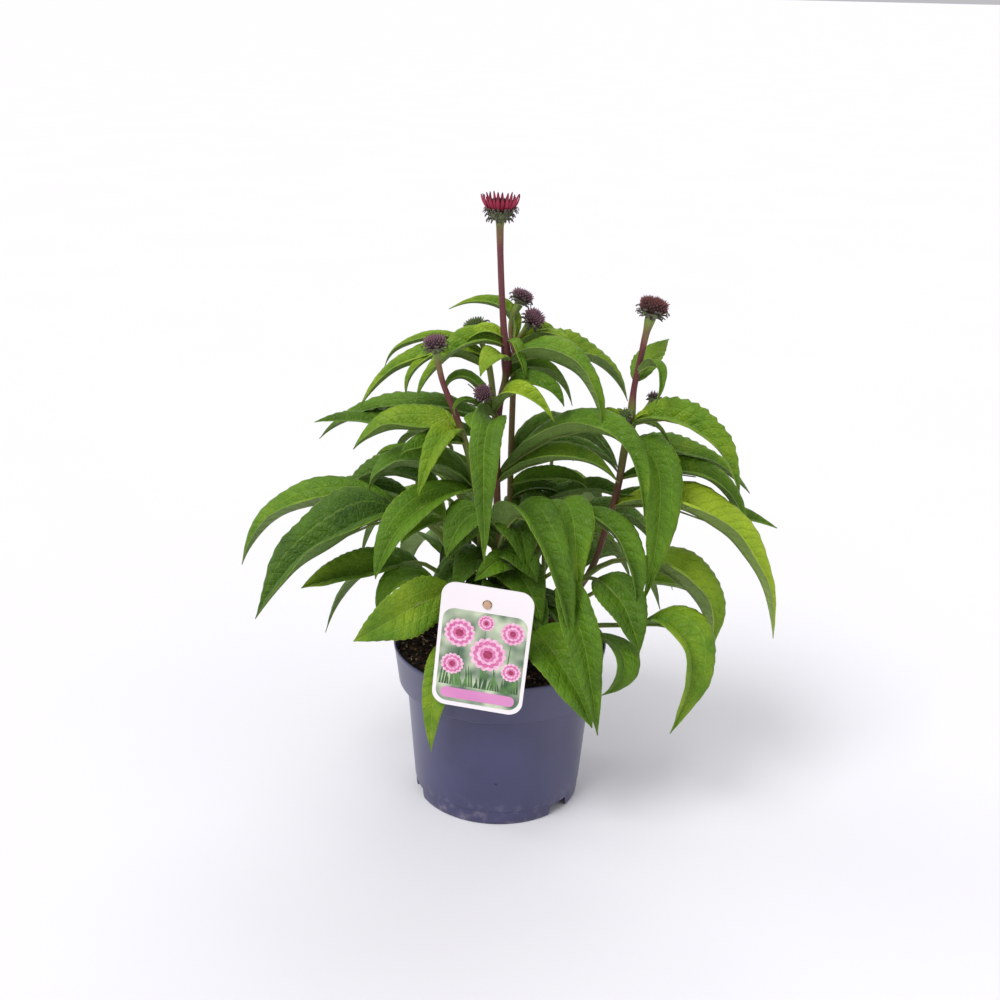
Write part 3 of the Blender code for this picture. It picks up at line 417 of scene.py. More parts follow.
def half_width(size, t):
    rise, fall = 0.72, 1.05
    peak = rise / (rise + fall)
    level = (max(t, 0.0) ** rise * max(1 - t, 0.0) ** fall) / (peak ** rise * (1 - peak) ** fall)
    return max(size["width"] / 2 * level, 0.45 * MM)


def leaf_sheet(bm, size, along, across, lower, phase):
    """One face of a blade: a grid bent over the midrib, folded, quilted and toothed."""
    verts = bmesh.ops.create_grid(bm, x_segments=along, y_segments=across, size=0.5)["verts"]
    frames = [midrib_frame(size, i / along) for i in range(along + 1)]
    length = sum((midrib_point(size, (i + 1) / along) - midrib_point(size, i / along)).length
                 for i in range(along))
    spots, normals = {}, {}
    for vert in verts:
        station = round((vert.co.x + 0.5) * along)
        t = station / along
        middling = math.sin(math.pi * t)
        edge = vert.co.y * 2
        out = abs(edge)
        _, side, normal = frames[station]
        reach = half_width(size, t)
        tooth = (station + round(phase * 3)) % 3 / 2 - 0.5
        if 0 < station < along:
            reach *= 1 + size["teeth"] * tooth * out ** 6
        # The fold, long waves, and a ruffle towards the edge
        lift = math.sin(size["fold"]) * reach * (1.5 * out - 0.5 * out ** 3)
        lift += size["wave"] * math.sin(t * 10.5 + edge) * middling
        run = t * length
        ruffle = math.sin(run / RUFFLE + phase + (2.0 if edge > 0 else 0.0))
        lift += (0.4 * MM + size["quilt"] * 0.6) * ruffle * out ** 3 * middling
        # Fields between the side veins bulge, but not on the midrib
        field = abs(math.sin(math.pi * (run - 0.9 * out * reach) / SIDE_VEIN_GAP)) ** 0.7
        field *= abs(math.sin(math.pi * min(out / 0.46, (1 - out) / 0.54, 1.0) / 2))
        if out > 0:
            lift += size["quilt"] * (field - 0.4) * min(1.0, reach / (8 * MM))
        spot = midrib_point(size, t) + side * edge * math.cos(size["fold"]) * reach + normal * lift
        # Small bends as grown, and a tip that curls under
        drift = noise.noise_vector(spot * 28.0) * LEAF_BEND * middling
        drift += noise.noise_vector(spot * 80.0) * EDGE_BEND * out
        drift -= normal * TIP_CURL * max(0.0, t - 0.8) ** 2
        thick = LEAF_THICKNESS * (1.0 if out < 1 else 0.5)
        sink = normal * (thick * (-0.5 if lower else 0.5))
        if lower and out == 0:
            sink -= normal * 0.5 * MM * (1 - t)
        vert.co = spot + drift + sink
        spots[vert] = (run / LEAF_UNIT, edge * reach / LEAF_UNIT)
        normals[vert] = normal
        set_value(bm, vert, "across", edge)
        set_value(bm, vert, "tint", size["tint"])
    faces = faces_of(verts)
    unwrap(bm, faces, spots, 1 if lower else 0)
    middle = max(faces, key=lambda face: face.calc_area())
    middle.normal_update()
    if (middle.normal.dot(normals[middle.verts[0]]) > 0) == lower:
        bmesh.ops.reverse_faces(bm, faces=faces)
    return verts


def leaf_blade(bm, size):
    """Both faces of a blade, joined round its edge."""
    span = (size["tip"] - size["foot"]).length
    along, across = (46, 14) if span > 70 * MM else (28, 12) if span > 45 * MM else (20, 8)
    phase = (size["tip"].x * 700 + size["tip"].z * 430) % math.tau
    rims = []
    for lower in (False, True):
        rims += open_edges(leaf_sheet(bm, size, along, across, lower, phase))
    for face in bmesh.ops.bridge_loops(bm, edges=rims)["faces"]:
        face.material_index = 1
        face.smooth = True


def smooth_path(points, values, between):
    """Points and values on a smooth curve through the given ones."""
    ends = [2 * points[0] - points[1]] + list(points) + [2 * points[-1] - points[-2]]
    path, widths = [], []
    for index in range(len(points) - 1):
        before, start, end, after = ends[index:index + 4]
        for step in range(between):
            t = step / between
            path.append(0.5 * (2 * start + (end - before) * t
                               + (2 * before - 5 * start + 4 * end - after) * t ** 2
                               + (3 * start - before - 3 * end + after) * t ** 3))
            ease = t * t * (3 - 2 * t)
            widths.append(values[index] + (values[index + 1] - values[index]) * ease)
    return path + [points[-1].copy()], widths + [values[-1]]


def tube(bm, path, radii, tones, sides):
    """A closed tube along a path: a grid rolled up and welded."""
    count = len(path) - 1
    verts = bmesh.ops.create_grid(bm, x_segments=count + 2, y_segments=sides, size=0.5)["verts"]
    guide = UP if abs((path[1] - path[0]).normalized().z) < 0.9 else FRONT
    rings = []
    for index in range(count + 1):
        ahead = path[min(index + 1, count)] - path[max(index - 1, 0)]
        tangent = ahead.normalized()
        guide = (guide - tangent * guide.dot(tangent)).normalized()
        rings.append((guide, tangent.cross(guide)))
    run = [0.0]
    for start, end in zip(path, path[1:]):
        run.append(run[-1] + (end - start).length)
    spots = {}
    for vert in verts:
        station = round((vert.co.x + 0.5) * (count + 2)) - 1
        closed = station < 0 or station > count
        station = min(max(station, 0), count)
        share = round((vert.co.y + 0.5) * sides) / sides
        first, second = rings[station]
        radius = 0.0 if closed else radii[station]
        angle = share * math.tau
        vert.co = path[station] + (first * math.cos(angle) + second * math.sin(angle)) * radius
        set_value(bm, vert, "tone", tones[station])
        spots[vert] = (run[station] / LEAF_UNIT, share)
    faces = faces_of(verts)
    unwrap(bm, faces, spots, 2)
    bmesh.ops.recalc_face_normals(bm, faces=faces)
    bmesh.ops.remove_doubles(bm, verts=verts, dist=0.002 * MM)


def leaf_stalk(bm, size, root=None):
    """The stalk, which runs on along the underside as a midrib."""
    beyond = [(0.0, 1.0), (0.05, 0.85), (0.12, 0.68), (0.24, 0.5), (0.42, 0.35)]
    path, radii = [], []
    if root is not None:
        foot = size["foot"]
        reach = (foot - root).length
        along = (midrib_point(size, 0.08) - foot).normalized()
        lifted = root + UP * reach * 0.45
        led = foot - along * reach * 0.30
        steps = 10
        for step in range(steps):
            t = step / steps
            path.append(root * (1 - t) ** 3 + lifted * 3 * t * (1 - t) ** 2
                        + led * 3 * t ** 2 * (1 - t) + foot * t ** 3)
            radii.append(size["stalk"] * (1.55 - 0.5 * t))
    for t, share in beyond:
        _, _, normal = midrib_frame(size, t)
        path.append(midrib_point(size, t) - normal * size["stalk"] * share * 0.7 * min(1, t * 10))
        radii.append(size["stalk"] * share)
    tones = [0.42 if root is not None and i < 4 else 0.10 for i in range(len(path))]
    tube(bm, path, radii, tones, 10)


LEAF_TOP = leaf_surface("coneflower_leaf_upper", "294A08", "588010", "A1BA26", "8FAC44",
                        1.0 * MM, 0.50, 0.32)
LEAF_UNDER = leaf_surface("coneflower_leaf_underside", "587832", "749046", "93AB5C", "A3B875",
                          -0.9 * MM, 0.58, 0.35)
STEM = stem_surface()


def foliage(name, limbs, *groups):
    """All the stems and leaves of one growing point, as one piece that stands for its solid.

    Each group is a list of leaves, with the place of their root or None for leaves on a stem.
    """
    bm = bmesh.new()
    add_layers(bm)
    for limb in limbs:
        places = [mm(row[:3]) for row in limb]
        path, radii = smooth_path(places, [row[3] * MM for row in limb], 5)
        _, tones = smooth_path(places, [row[4] for row in limb], 5)
        tube(bm, path, radii, tones, 16)
    for leaves, spot in groups:
        for size in leaves:
            root = None
            if spot is not None:
                middle = mm((*spot, 0.0))
                towards = size["foot"] - middle
                towards.z = 0.0
                root = middle + towards.normalized() * ROOT_SPREAD + UP * (ROOT_TOP - 8 * MM)
            leaf_stalk(bm, size, root)
            leaf_blade(bm, size)
    finish_piece(bm, name, (LEAF_TOP, LEAF_UNDER, STEM))


# Where each stem and leaf grows, in millimetres. A stem's rows are its points, with its radius
# there and how red it is, from 0 to 1.

TALL_STEM = [(0, 0, 118, 3.2, 0.3), (0, 0, 137, 3.2, 0.3), (-2, -3, 224, 3.0, 0.4),
             (-6, -6, 299, 3.0, 0.6), (-6, -6, 358, 3.2, 0.9), (-1, -6, 388, 2.9, 0.4),
             (0, -6, 404, 4.6, 0.9), (-3, -6, 431, 2.8, 0.8), (-5, -6, 455, 2.6, 0.85),
             (-7, -6, 488, 2.6, 0.75), (-8, -6, 512, 3.0, 0.45), (-8, -6, 519, 3.7, 0.1)]
SIDE_SHOOT = [(-6, -8, 354, 2.0, 0.6), (-12, -17, 369, 1.8, 0.2), (-17, -26, 379, 2.6, 0.0)]
TALL_STEM_LEAVES = [
    leaf((-1, -6, 416), (-40, -8, 414), (-77, -14, 371), 30, roll=24, tint=0.2),
    leaf((0, -4, 420), (-20, -4, 427), (-38, -6, 416), 18, roll=20, tint=0.5),
    leaf((0, -8, 405), (-12, -26, 415), (-22, -38, 400), 22, fold=15, roll=10, tint=0.4, quilt=0.8),
    leaf((1, -6, 402), (49, -20, 406), (82, -40, 357), 42, wave=1.0, roll=15, tint=0.1),
    leaf((0, -4, 390), (30, 8, 393), (59, 12, 363), 28, roll=30, tint=-0.1),
    leaf((-1, -6, 382), (26, -22, 389), (49, -32, 375), 28, tint=-0.2, quilt=0.7),
    leaf((-10, -14, 363), (-35, -13, 388), (-52, -16, 380), 22, roll=20, tint=-0.1),
    leaf((-10, -14, 360), (-33, -28, 374), (-43, -36, 366), 12, tint=-0.1),
    leaf((-9, -13, 359), (-26, -46, 371), (-18, -70, 358), 17, fold=20, tint=0.1),
    leaf((-9, -13, 362), (11, -38, 386), (41, -50, 367), 22, tint=0.6),
    leaf((-1, -6, 421), (11, -14, 416), (16, -20, 386), 12, fold=20, tint=0.1),
    leaf((-6, -8, 345), (-15, -84, 361), (-14, -110, 264), 31, fold=26, wave=0.8, tint=-0.25,
         quilt=1.0),
    leaf((-6, -4, 300), (-75, 14, 315), (-113, 17, 312), 20, roll=35, tint=0.1),
    leaf((-5, -6, 298), (46, -24, 325), (97, -36, 312), 34, tint=0.1),
    leaf((-4, -4, 305), (78, -44, 357), (117, -72, 289), 44, wave=1.0, roll=12, tint=-0.1),
]

LEFT_STEM = [(-12, -12, 118, 3.0, 0.2), (-12, -12, 137, 3.0, 0.2), (-15, -14, 200, 2.9, 0.2),
             (-21, -18, 267, 2.8, 0.1), (-29, -22, 321, 2.8, 0.1), (-35, -25, 345, 3.0, 0.3),
             (-42, -27, 366, 2.6, 0.7), (-51, -29, 389, 2.4, 0.7), (-55, -30, 405, 2.5, 0.45),
             (-57, -30, 417, 3.6, 0.0)]
LEFT_STEM_LEAVES = [
    leaf((-36, -25, 346), (-53, -49, 348), (-71, -63, 302), 24, fold=25, tint=0.3),
    leaf((-34, -24, 342), (-83, -22, 349), (-129, -15, 329), 46, wave=1.0, tint=0.2),
    leaf((-33, -24, 338), (-62, -40, 342), (-86, -50, 337), 26, tint=-0.1),
    leaf((-23, -19, 292), (-76, -24, 316), (-116, -24, 295), 50, wave=1.2, tint=-0.2, quilt=0.8),
    leaf((-24, -20, 296), (-75, -70, 290), (-103, -98, 245), 40, fold=30, roll=12, tint=-0.2),
]

FORKED_STEM = [(10, 16, 118, 3.0, 0.3), (10, 16, 137, 3.0, 0.3), (6, 22, 271, 2.7, 0.4),
               (6, 22, 363, 2.6, 0.5), (7, 22, 405, 3.4, 0.6)]
RIGHT_FORK = [(7, 22, 402, 2.4, 0.6), (9, 20, 415, 2.2, 0.5), (13, 17, 423, 2.4, 0.2),
              (18, 14, 431, 3.4, 0.0)]
LEFT_FORK = [(7, 22, 402, 2.4, 0.6), (3, 26, 419, 2.2, 0.5), (4, 29, 433, 2.6, 0.2),
             (9, 31, 444, 3.8, 0.0)]
FORKED_STEM_LEAVES = [
    leaf((5, 24, 414), (-7, 30, 441), (-50, 26, 442), 22, roll=30, tint=0.4),
    leaf((11, 18, 417), (31, 25, 421), (43, 29, 413), 18, roll=15, tint=0.4),
    leaf((9, 20, 413), (37, 12, 419), (59, 6, 410), 20, tint=0.4),
    leaf((8, 22, 404), (65, 37, 398), (109, 47, 358), 38, wave=0.8, roll=22, tint=0.1, teeth=0.09),
    leaf((6, 22, 300), (62, 44, 311), (106, 54, 286), 28, roll=20, tint=-0.2),
    leaf((6, 22, 306), (52, 30, 331), (104, 32, 298), 44, wave=1.2, roll=15, tint=-0.3, quilt=0.9),
    leaf((6, 22, 285), (44, 8, 298), (75, 4, 290), 26),
    leaf((6, 22, 272), (32, 26, 280), (55, 31, 271), 30, tint=-0.4),
    leaf((6, 22, 256), (82, 26, 280), (108, 20, 252), 26, roll=18, tint=-0.4),
]

BACK_STEM = [(-10, 18, 118, 3.0, 0.2), (-10, 18, 137, 3.0, 0.2), (-6, 30, 249, 2.7, 0.2),
             (-9, 34, 341, 2.6, 0.3), (-15, 36, 389, 2.8, 0.2), (-21, 36, 407, 2.4, 0.1),
             (-25, 36, 416, 3.2, 0.0)]
BACK_STEM_LEAVES = [
    leaf((-17, 36, 398), (-70, 38, 410), (-107, 35, 387), 18, roll=20, tint=0.3),
    leaf((-14, 36, 392), (-72, 20, 396), (-126, 10, 358), 34, wave=0.6, tint=0.3),
    leaf((-13, 36, 384), (-61, 10, 403), (-86, -6, 368), 22, tint=0.2),
    leaf((-8, 33, 325), (-105, 42, 331), (-167, 40, 335), 34, fold=30, roll=20, tint=-0.3,
         teeth=0.09),
    leaf((-9, 33, 338), (-98, 58, 340), (-168, 62, 312), 36, roll=35, tint=-0.3, teeth=0.07),
]

RIGHT_STEM = [(26, 2, 118, 3.4, 0.3), (26, 2, 137, 3.4, 0.3), (46, 3, 165, 3.2, 0.4),
              (76, -2, 211, 3.0, 0.5), (89, -6, 256, 2.8, 0.6), (97, -9, 294, 3.0, 0.6),
              (101, -11, 331, 3.4, 0.3), (105, -12, 353, 4.4, 0.55), (105, -12, 365, 3.6, 0.2),
              (106, -12, 386, 2.6, 0.75), (110, -12, 412, 2.5, 0.85), (113, -12, 431, 2.9, 0.5),
              (116, -12, 445, 4.6, 0.0)]
GREEN_SHOOT = [(104, -12, 350, 1.8, 0.1), (100, -23, 363, 2.0, 0.0)]
SMALL_SHOOT = [(106, -11, 354, 1.8, 0.4), (115, -4, 362, 1.5, 0.2), (122, 2, 369, 2.0, 0.0)]
RIGHT_STEM_LEAVES = [
    leaf((104, -13, 351), (98, -20, 366), (90, -24, 370), 9, fold=30, tint=0.4),
    leaf((106, -14, 352), (112, -23, 365), (118, -28, 369), 10, fold=30, tint=0.5),
    leaf((104, -14, 349), (99, -27, 356), (94, -36, 350), 9, fold=30, tint=0.3),
    leaf((104, -12, 343), (93, -4, 358), (81, 0, 363), 13, roll=25, tint=0.5),
    leaf((107, -10, 390), (121, 4, 407), (134, 14, 423), 29, fold=12, tint=0.1, teeth=0.07),
    leaf((108, -13, 398), (122, -30, 408), (123, -40, 379), 15),
    leaf((105, -14, 354), (156, -36, 358), (198, -40, 303), 42, wave=1.0, tint=0.1, teeth=0.09),
    leaf((105, -12, 356), (128, -14, 351), (140, -15, 329), 9, stalk=0.9, tint=0.1),
    leaf((101, -10, 331), (160, 12, 317), (219, 28, 282), 38, roll=30, teeth=0.07,
         quilt=0.8),
    leaf((102, -12, 336), (128, -44, 313), (120, -56, 208), 40, fold=25, roll=30, tint=-0.1,
         quilt=0.9),
    leaf((98, -8, 304), (173, -6, 303), (212, -9, 248), 34, roll=20),
    leaf((96, -7, 290), (178, 20, 264), (248, 40, 245), 38, roll=15, tint=-0.1),
    leaf((94, -8, 278), (184, -37, 270), (236, -51, 178), 56, wave=1.2, tint=0.9, quilt=0.8),
]

LEFT_BUNCH_ROOT = (-28, -2)
LEFT_BUNCH = [
    leaf((-55, 10, 281), (-104, 20, 293), (-140, 24, 266), 46, wave=1.0, roll=15, tint=-0.4,
         teeth=0.07),
    leaf((-90, -5, 275), (-174, -8, 270), (-229, -10, 218), 48, wave=0.8),
    leaf((-80, 25, 266), (-127, 33, 271), (-173, 39, 257), 36, roll=12, tint=-0.3),
    leaf((-85, -30, 272), (-142, -58, 258), (-206, -78, 199), 78, fold=42, roll=-2, wave=1.8,
         tint=-0.6, quilt=2.4),
    leaf((-84, -20, 226), (-128, -32, 218), (-171, -42, 212), 46, roll=22, wave=1.4, tint=0.05,
         quilt=1.3),
    leaf((-58, -26, 214), (-88, -40, 219), (-107, -50, 192), 30, fold=25, roll=10),
    leaf((-45, -24, 262), (-64, -44, 271), (-85, -62, 262), 20, tint=0.1),
]

FRONT_BUNCH_ROOT = (8, -28)
FRONT_BUNCH = [
    leaf((-42, -62, 222), (-78, -86, 212), (-121, -95, 186), 48, fold=12, roll=28, wave=1.0,
         tint=0.2, quilt=0.7, teeth=0.06),
    leaf((-38, -66, 176), (-51, -90, 152), (-58, -89, 80), 28, fold=6, tint=0.2),
    leaf((-16, -42, 284), (-32, -64, 283), (-47, -76, 256), 34, fold=25, tint=-0.3),
    leaf((8, -36, 234), (-5, -60, 244), (-23, -70, 233), 24, fold=20),
    leaf((29, -58, 184), (50, -94, 172), (79, -109, 119), 50, fold=24, roll=-8, wave=1.6,
         tint=-0.05, quilt=1.8),
    leaf((50, -66, 236), (66, -103, 202), (83, -112, 113), 34, fold=32, tint=-0.25, quilt=1.2),
    leaf((0, -42, 262), (26, -78, 285), (62, -110, 192), 52, fold=38, roll=-12, wave=1.6,
         tint=-0.3, quilt=1.6),
    leaf((-6, -28, 242), (13, -50, 249), (31, -62, 230), 34, fold=18, tint=-0.5, quilt=0.9),
    leaf((48, -24, 288), (58, -58, 283), (63, -76, 225), 34, fold=20, tint=-0.1),
]

RIGHT_BUNCH_ROOT = (38, -14)
RIGHT_BUNCH = [
    leaf((62, -36, 283), (97, -60, 264), (113, -76, 213), 40, tint=-0.2),
    leaf((118, -18, 232), (163, -34, 209), (182, -46, 159), 66, wave=1.4, tint=0.4, quilt=1.0),
    leaf((120, 18, 197), (168, 26, 187), (197, 33, 165), 34, tint=0.2),
    leaf((118, -58, 191), (157, -84, 184), (146, -101, 110), 54, fold=30, roll=12, wave=1.0,
         tint=0.2, quilt=1.2),
    leaf((80, -44, 226), (101, -74, 217), (117, -86, 177), 40, fold=25, tint=-0.4, quilt=1.0),
    leaf((72, -52, 178), (104, -84, 172), (87, -92, 139), 34, fold=20, roll=15, tint=-0.3),
]

# Leaves at the back follow one rule: headings in even turns, with small seeded changes
BACK_BUNCHES = {
    "basal_leaves_back_left": {"root": (-20, 38), "headings": (95, 178), "shoot": (-48, 64, 306)},
    "basal_leaves_back_right": {"root": (24, 34), "headings": (10, 86), "shoot": (44, 66, 300)},
}
BACK_LEAVES = 4
SHOOT_LEAVES = 3
SHOOT_RADII = [3.0, 3.0, 2.7, 1.6]
SHOOT_TONES = [0.3, 0.3, 0.3, 0.2]
INNER_LEAVES = 16
INNER_ROOT = (4, -6)
INNER_MIDDLE = Vector((*INNER_ROOT, 172.0))


def arching(foot, heading, reach, lift, drop, width, **shape):
    """A leaf that arches out from its foot in a heading, in degrees from +X towards +Y."""
    start = Vector(foot)
    over = start + outward(heading) * reach * 0.5 + UP * lift
    tip = start + outward(heading) * reach - UP * drop
    return leaf(start, over, tip, width, **shape)


def back_foliage(name, root, headings, shoot):
    """Basal leaves with one leafy shoot, filling the back of the plant on one side."""
    rng = random.Random(name)
    first, last = headings
    leaves = []
    for index in range(BACK_LEAVES):
        heading = first + (last - first) * index / (BACK_LEAVES - 1) + rng.uniform(-4, 4)
        far, high = (38, 232) if index % 2 == 0 else (48, 182)
        foot = Vector((*root, 0.0)) + outward(heading) * far + UP * high
        leaves.append(arching(foot, heading, rng.uniform(96, 112), rng.uniform(8, 14),
                              rng.uniform(48, 62), rng.uniform(40, 52), fold=30, wave=1.0,
                              tint=0.15 * (index % 3) - 0.2, quilt=1.0))
    neck = Vector((*root, ROOT_TOP / MM))
    top = Vector(shoot)
    points = [neck - UP * 18, neck, neck.lerp(top, 0.5) + UP * 8, top]
    upper = []
    for index in range(SHOOT_LEAVES):
        foot = neck.lerp(top, 0.45 + 0.54 * index / (SHOOT_LEAVES - 1))
        heading = first + (last - first) * (index * 0.38 % 1.0)
        size = 1.0 - 0.35 * index / (SHOOT_LEAVES - 1)
        upper.append(arching(foot, heading, 92 * size, 14 * size, 34 * size, 38 * size, tint=0.1))
    limb = [(*row, radius, tone) for row, radius, tone in zip(points, SHOOT_RADII, SHOOT_TONES)]
    foliage(name, [limb], (leaves, root), (upper, None))


def inner_leaves():
    """Small shaded leaves between the stems, in even turns with small seeded changes."""
    rng = random.Random("inner leaves")
    made = []
    for index in range(INNER_LEAVES):
        heading = index * 137.5 % 360
        foot = INNER_MIDDLE + UP * 96.0 * (index * 0.618 % 1.0)
        foot += outward(heading) * rng.uniform(14, 28)
        # Their tint of -0.6 darkens them as painted shade, for the shade deep among the stems
        made.append(arching(foot, heading, rng.uniform(40, 54), rng.uniform(8, 16),
                            rng.uniform(18, 38), rng.uniform(26, 36), fold=25, wave=1.0,
                            tint=-0.6, quilt=0.9))
    # Four larger leaves fill the dark middle; their tints of -0.4 to -0.5 are painted shade
    return made + [
        leaf((4, -18, 250), (12, -40, 270), (22, -60, 238), 44, fold=22, tint=-0.45, quilt=1.4),
        leaf((0, -20, 205), (14, -44, 228), (36, -64, 192), 46, fold=22, tint=-0.4, quilt=1.4),
        leaf((-8, -18, 214), (-22, -38, 238), (-42, -54, 212), 38, fold=25, tint=-0.4, quilt=1.2),
        leaf((-12, -12, 250), (-28, -30, 264), (-46, -44, 240), 34, fold=25, tint=-0.5, quilt=1.2),
    ]


def grow_plant():
    foliage("leafy_stem_tall", (TALL_STEM, SIDE_SHOOT), (TALL_STEM_LEAVES, None))
    foliage("leafy_stem_left", (LEFT_STEM,), (LEFT_STEM_LEAVES, None))
    foliage("leafy_stem_forked", (FORKED_STEM, RIGHT_FORK, LEFT_FORK), (FORKED_STEM_LEAVES, None))
    foliage("leafy_stem_back", (BACK_STEM,), (BACK_STEM_LEAVES, None))
    foliage("leafy_stem_right", (RIGHT_STEM, GREEN_SHOOT, SMALL_SHOOT), (RIGHT_STEM_LEAVES, None))
    foliage("basal_leaves_left", (), (LEFT_BUNCH, LEFT_BUNCH_ROOT))
    foliage("basal_leaves_front", (), (FRONT_BUNCH, FRONT_BUNCH_ROOT),
            (inner_leaves(), INNER_ROOT))
    foliage("basal_leaves_right", (), (RIGHT_BUNCH, RIGHT_BUNCH_ROOT))
    for name, bunch in BACK_BUNCHES.items():
        back_foliage(name, **bunch)


# Flower heads

FLORET = head_surface("disc_floret_purple", "2E1820", "9A7480", "3C1624")
FLORET_RIPE = head_surface("disc_floret_rust", "26100F", "875454", "5A2420")
DISC = head_surface("disc_floret_maroon", "220A10", "5A1624", "32101A")
FLORET_GREEN = head_surface("disc_floret_green", "34481F", "7C9150", "55503C")
BRACT = head_surface("bristly_bract", "76815E", "62614F", "402E36", 0.7)
RAY = ray_surface()


def head_core(profile, above, below, level=0.0):
    """A head's turned core, in one material above a level and another below it."""
    bm = turned(profile, 32)
    add_layers(bm)
    for face in bm.faces:
        face.smooth = True
        face.material_index = above if face.calc_center_median().z > level else below
    return bm


def spike(bm, foot, tip, radius, slot):
    """A stiff pointed floret: a five-sided post with a point."""
    axis = tip - foot
    turn = UP.rotation_difference(axis.normalized()).to_matrix().to_4x4()
    verts = bmesh.ops.create_cone(
        bm, cap_ends=True, cap_tris=False, segments=5, radius1=radius, radius2=radius * 0.62,
        depth=axis.length * 0.55, matrix=Matrix.Translation(foot + axis * 0.275) @ turn)["verts"]
    upper = {vert for vert in verts if (vert.co - foot).dot(axis) > axis.length_squared * 0.3}
    for vert in upper:
        set_value(bm, vert, "tone", 0.55)
    top = [face for face in faces_of(verts) if upper.issuperset(face.verts)]
    point = bmesh.ops.poke(bm, faces=top)["verts"]
    for vert in point:
        vert.co = tip
        set_value(bm, vert, "tone", 1.0)
    for face in faces_of(verts + point):
        face.material_index = slot


def strap(bm, angle, foot, over, tip, width, slot, notch=0.0, cup=0.18, along=10, across=4):
    """A narrow petal or bract in the plane of an angle round +Z; points are (radius, height)."""
    out = outward(math.degrees(angle))
    size = leaf(*[out * radius + UP * level for radius, level in (foot, over, tip)], width)
    side = UP.cross(out)
    rims, every = [], []
    for lower in (False, True):
        verts = bmesh.ops.create_grid(bm, x_segments=along, y_segments=across, size=0.5)["verts"]
        spots = {}
        for vert in verts:
            t = vert.co.x + 0.5
            edge = vert.co.y * 2
            tangent = (midrib_point(size, t + 0.01) - midrib_point(size, t - 0.01)).normalized()
            normal = tangent.cross(side)
            taper = min(1.0, 0.55 + 1.6 * t) * (1 - 2.25 * max(0, t - 0.55) ** 1.5)
            spot = midrib_point(size, t) + side * edge * size["width"] / 2 * taper
            spot -= normal * cup * edge * edge * size["width"]
            if notch and t > 0.95:
                spot += tangent * notch * MM * (abs(edge) * 2 % 1.0 if abs(edge) < 1 else -0.8)
            set_value(bm, vert, "tone", t)
            vert.co = spot + normal * (-0.14 if lower else 0.14) * MM
            spots[vert] = (t, edge)
        unwrap(bm, faces_of(verts), spots, slot)
        rims += open_edges(verts)
        every += verts
    for face in bmesh.ops.bridge_loops(bm, edges=rims)["faces"]:
        face.material_index = slot
    bmesh.ops.recalc_face_normals(bm, faces=faces_of(every))


def finish_head(name, bm, limb, mats):
    """Stands a head that was modelled round +Z on the end of a limb."""
    below, top = (mm(row[:3]) for row in limb[-2:])
    axis = (top - below).normalized()
    turn = UP.rotation_difference(axis).to_matrix().to_4x4()
    matrix = Matrix.Translation(top + axis * CLEARANCE) @ turn
    bmesh.ops.transform(bm, matrix=matrix, verts=bm.verts)
    finish_piece(bm, name, mats)


# Each floret turns this far on from the one before, as florets grow
GOLDEN_TURN = math.radians(137.508)
DRUM_TOP_SHARE = 0.58


def bud(name, limb, radius, height, neck, florets=104, bracts=42, long_bracts=1.0,
        surface=FLORET):
    """A closed head: a drum of stiff florets, with pointed bracts round its lower side.

    Its sizes are in millimetres.
    """
    rng = random.Random(name)
    shape = ((0.0, 0.93), (0.50, 0.90), (0.84, 0.80), (0.93, 0.56), (0.84, 0.30), (0.58, 0.10))
    profile = [(radius * out * MM, height * up * MM) for out, up in shape]
    bm = head_core(profile + [(neck * MM, 0.0), (0.0, 0.0)], 0, 1, height * 0.42 * MM)
    for index in range(florets):
        share = (index + 0.5) / florets
        out = outward(math.degrees(index * GOLDEN_TURN))
        if share < DRUM_TOP_SHARE:
            far = math.sqrt(share / DRUM_TOP_SHARE)
            foot = out * radius * 0.88 * far + UP * height * (0.93 - 0.13 * far ** 3)
            lean = UP * (1 - 0.35 * far) + out * (0.10 + 0.55 * far ** 2)
        else:
            down = (share - DRUM_TOP_SHARE) / (1 - DRUM_TOP_SHARE)
            foot = out * radius * (0.94 - 0.06 * down) + UP * height * (0.80 - 0.40 * down)
            lean = out * 0.85 + UP * (0.85 - 0.45 * down)
        lean.normalize()
        foot -= lean
        tip = foot + lean * rng.uniform(3.2, 4.5)
        spike(bm, foot * MM, tip * MM, rng.uniform(0.66, 0.90) * MM, 0)
    for index in range(bracts):
        row = index % 3
        start = radius * (0.58, 0.74, 0.83)[row]
        level = height * (0.10, 0.24, 0.40)[row]
        far = radius * rng.uniform(0.42, 0.62) * long_bracts
        rise = (0.3, 0.9, 1.6)[row] + rng.uniform(-0.4, 0.4)
        strap(bm, index * GOLDEN_TURN, (start, level), (start + far * 0.62, level + rise),
              (start + far, level + rise * 0.4 - rng.uniform(0.6, 1.8)), rng.uniform(1.5, 2.1),
              1, along=6, across=2)
    finish_head(name, bm, limb, (surface, BRACT))


BLOOM_CUP_RADIUS = 9.0
BLOOM_CUP_HEIGHT = 7.0
BLOOM_RAYS = 26
BLOOM_BRACTS_A_ROW = 17
# Height on the cup, distance out, reach and rise of each row of bracts
BLOOM_BRACT_ROWS = ((1.6, 6.6, 4.4, -0.2), (3.8, 7.6, 5.2, 1.2), (5.6, 8.2, 5.6, 2.6),
                    (6.6, 8.6, 5.8, 3.8))
BLOOM_FLORETS = 150


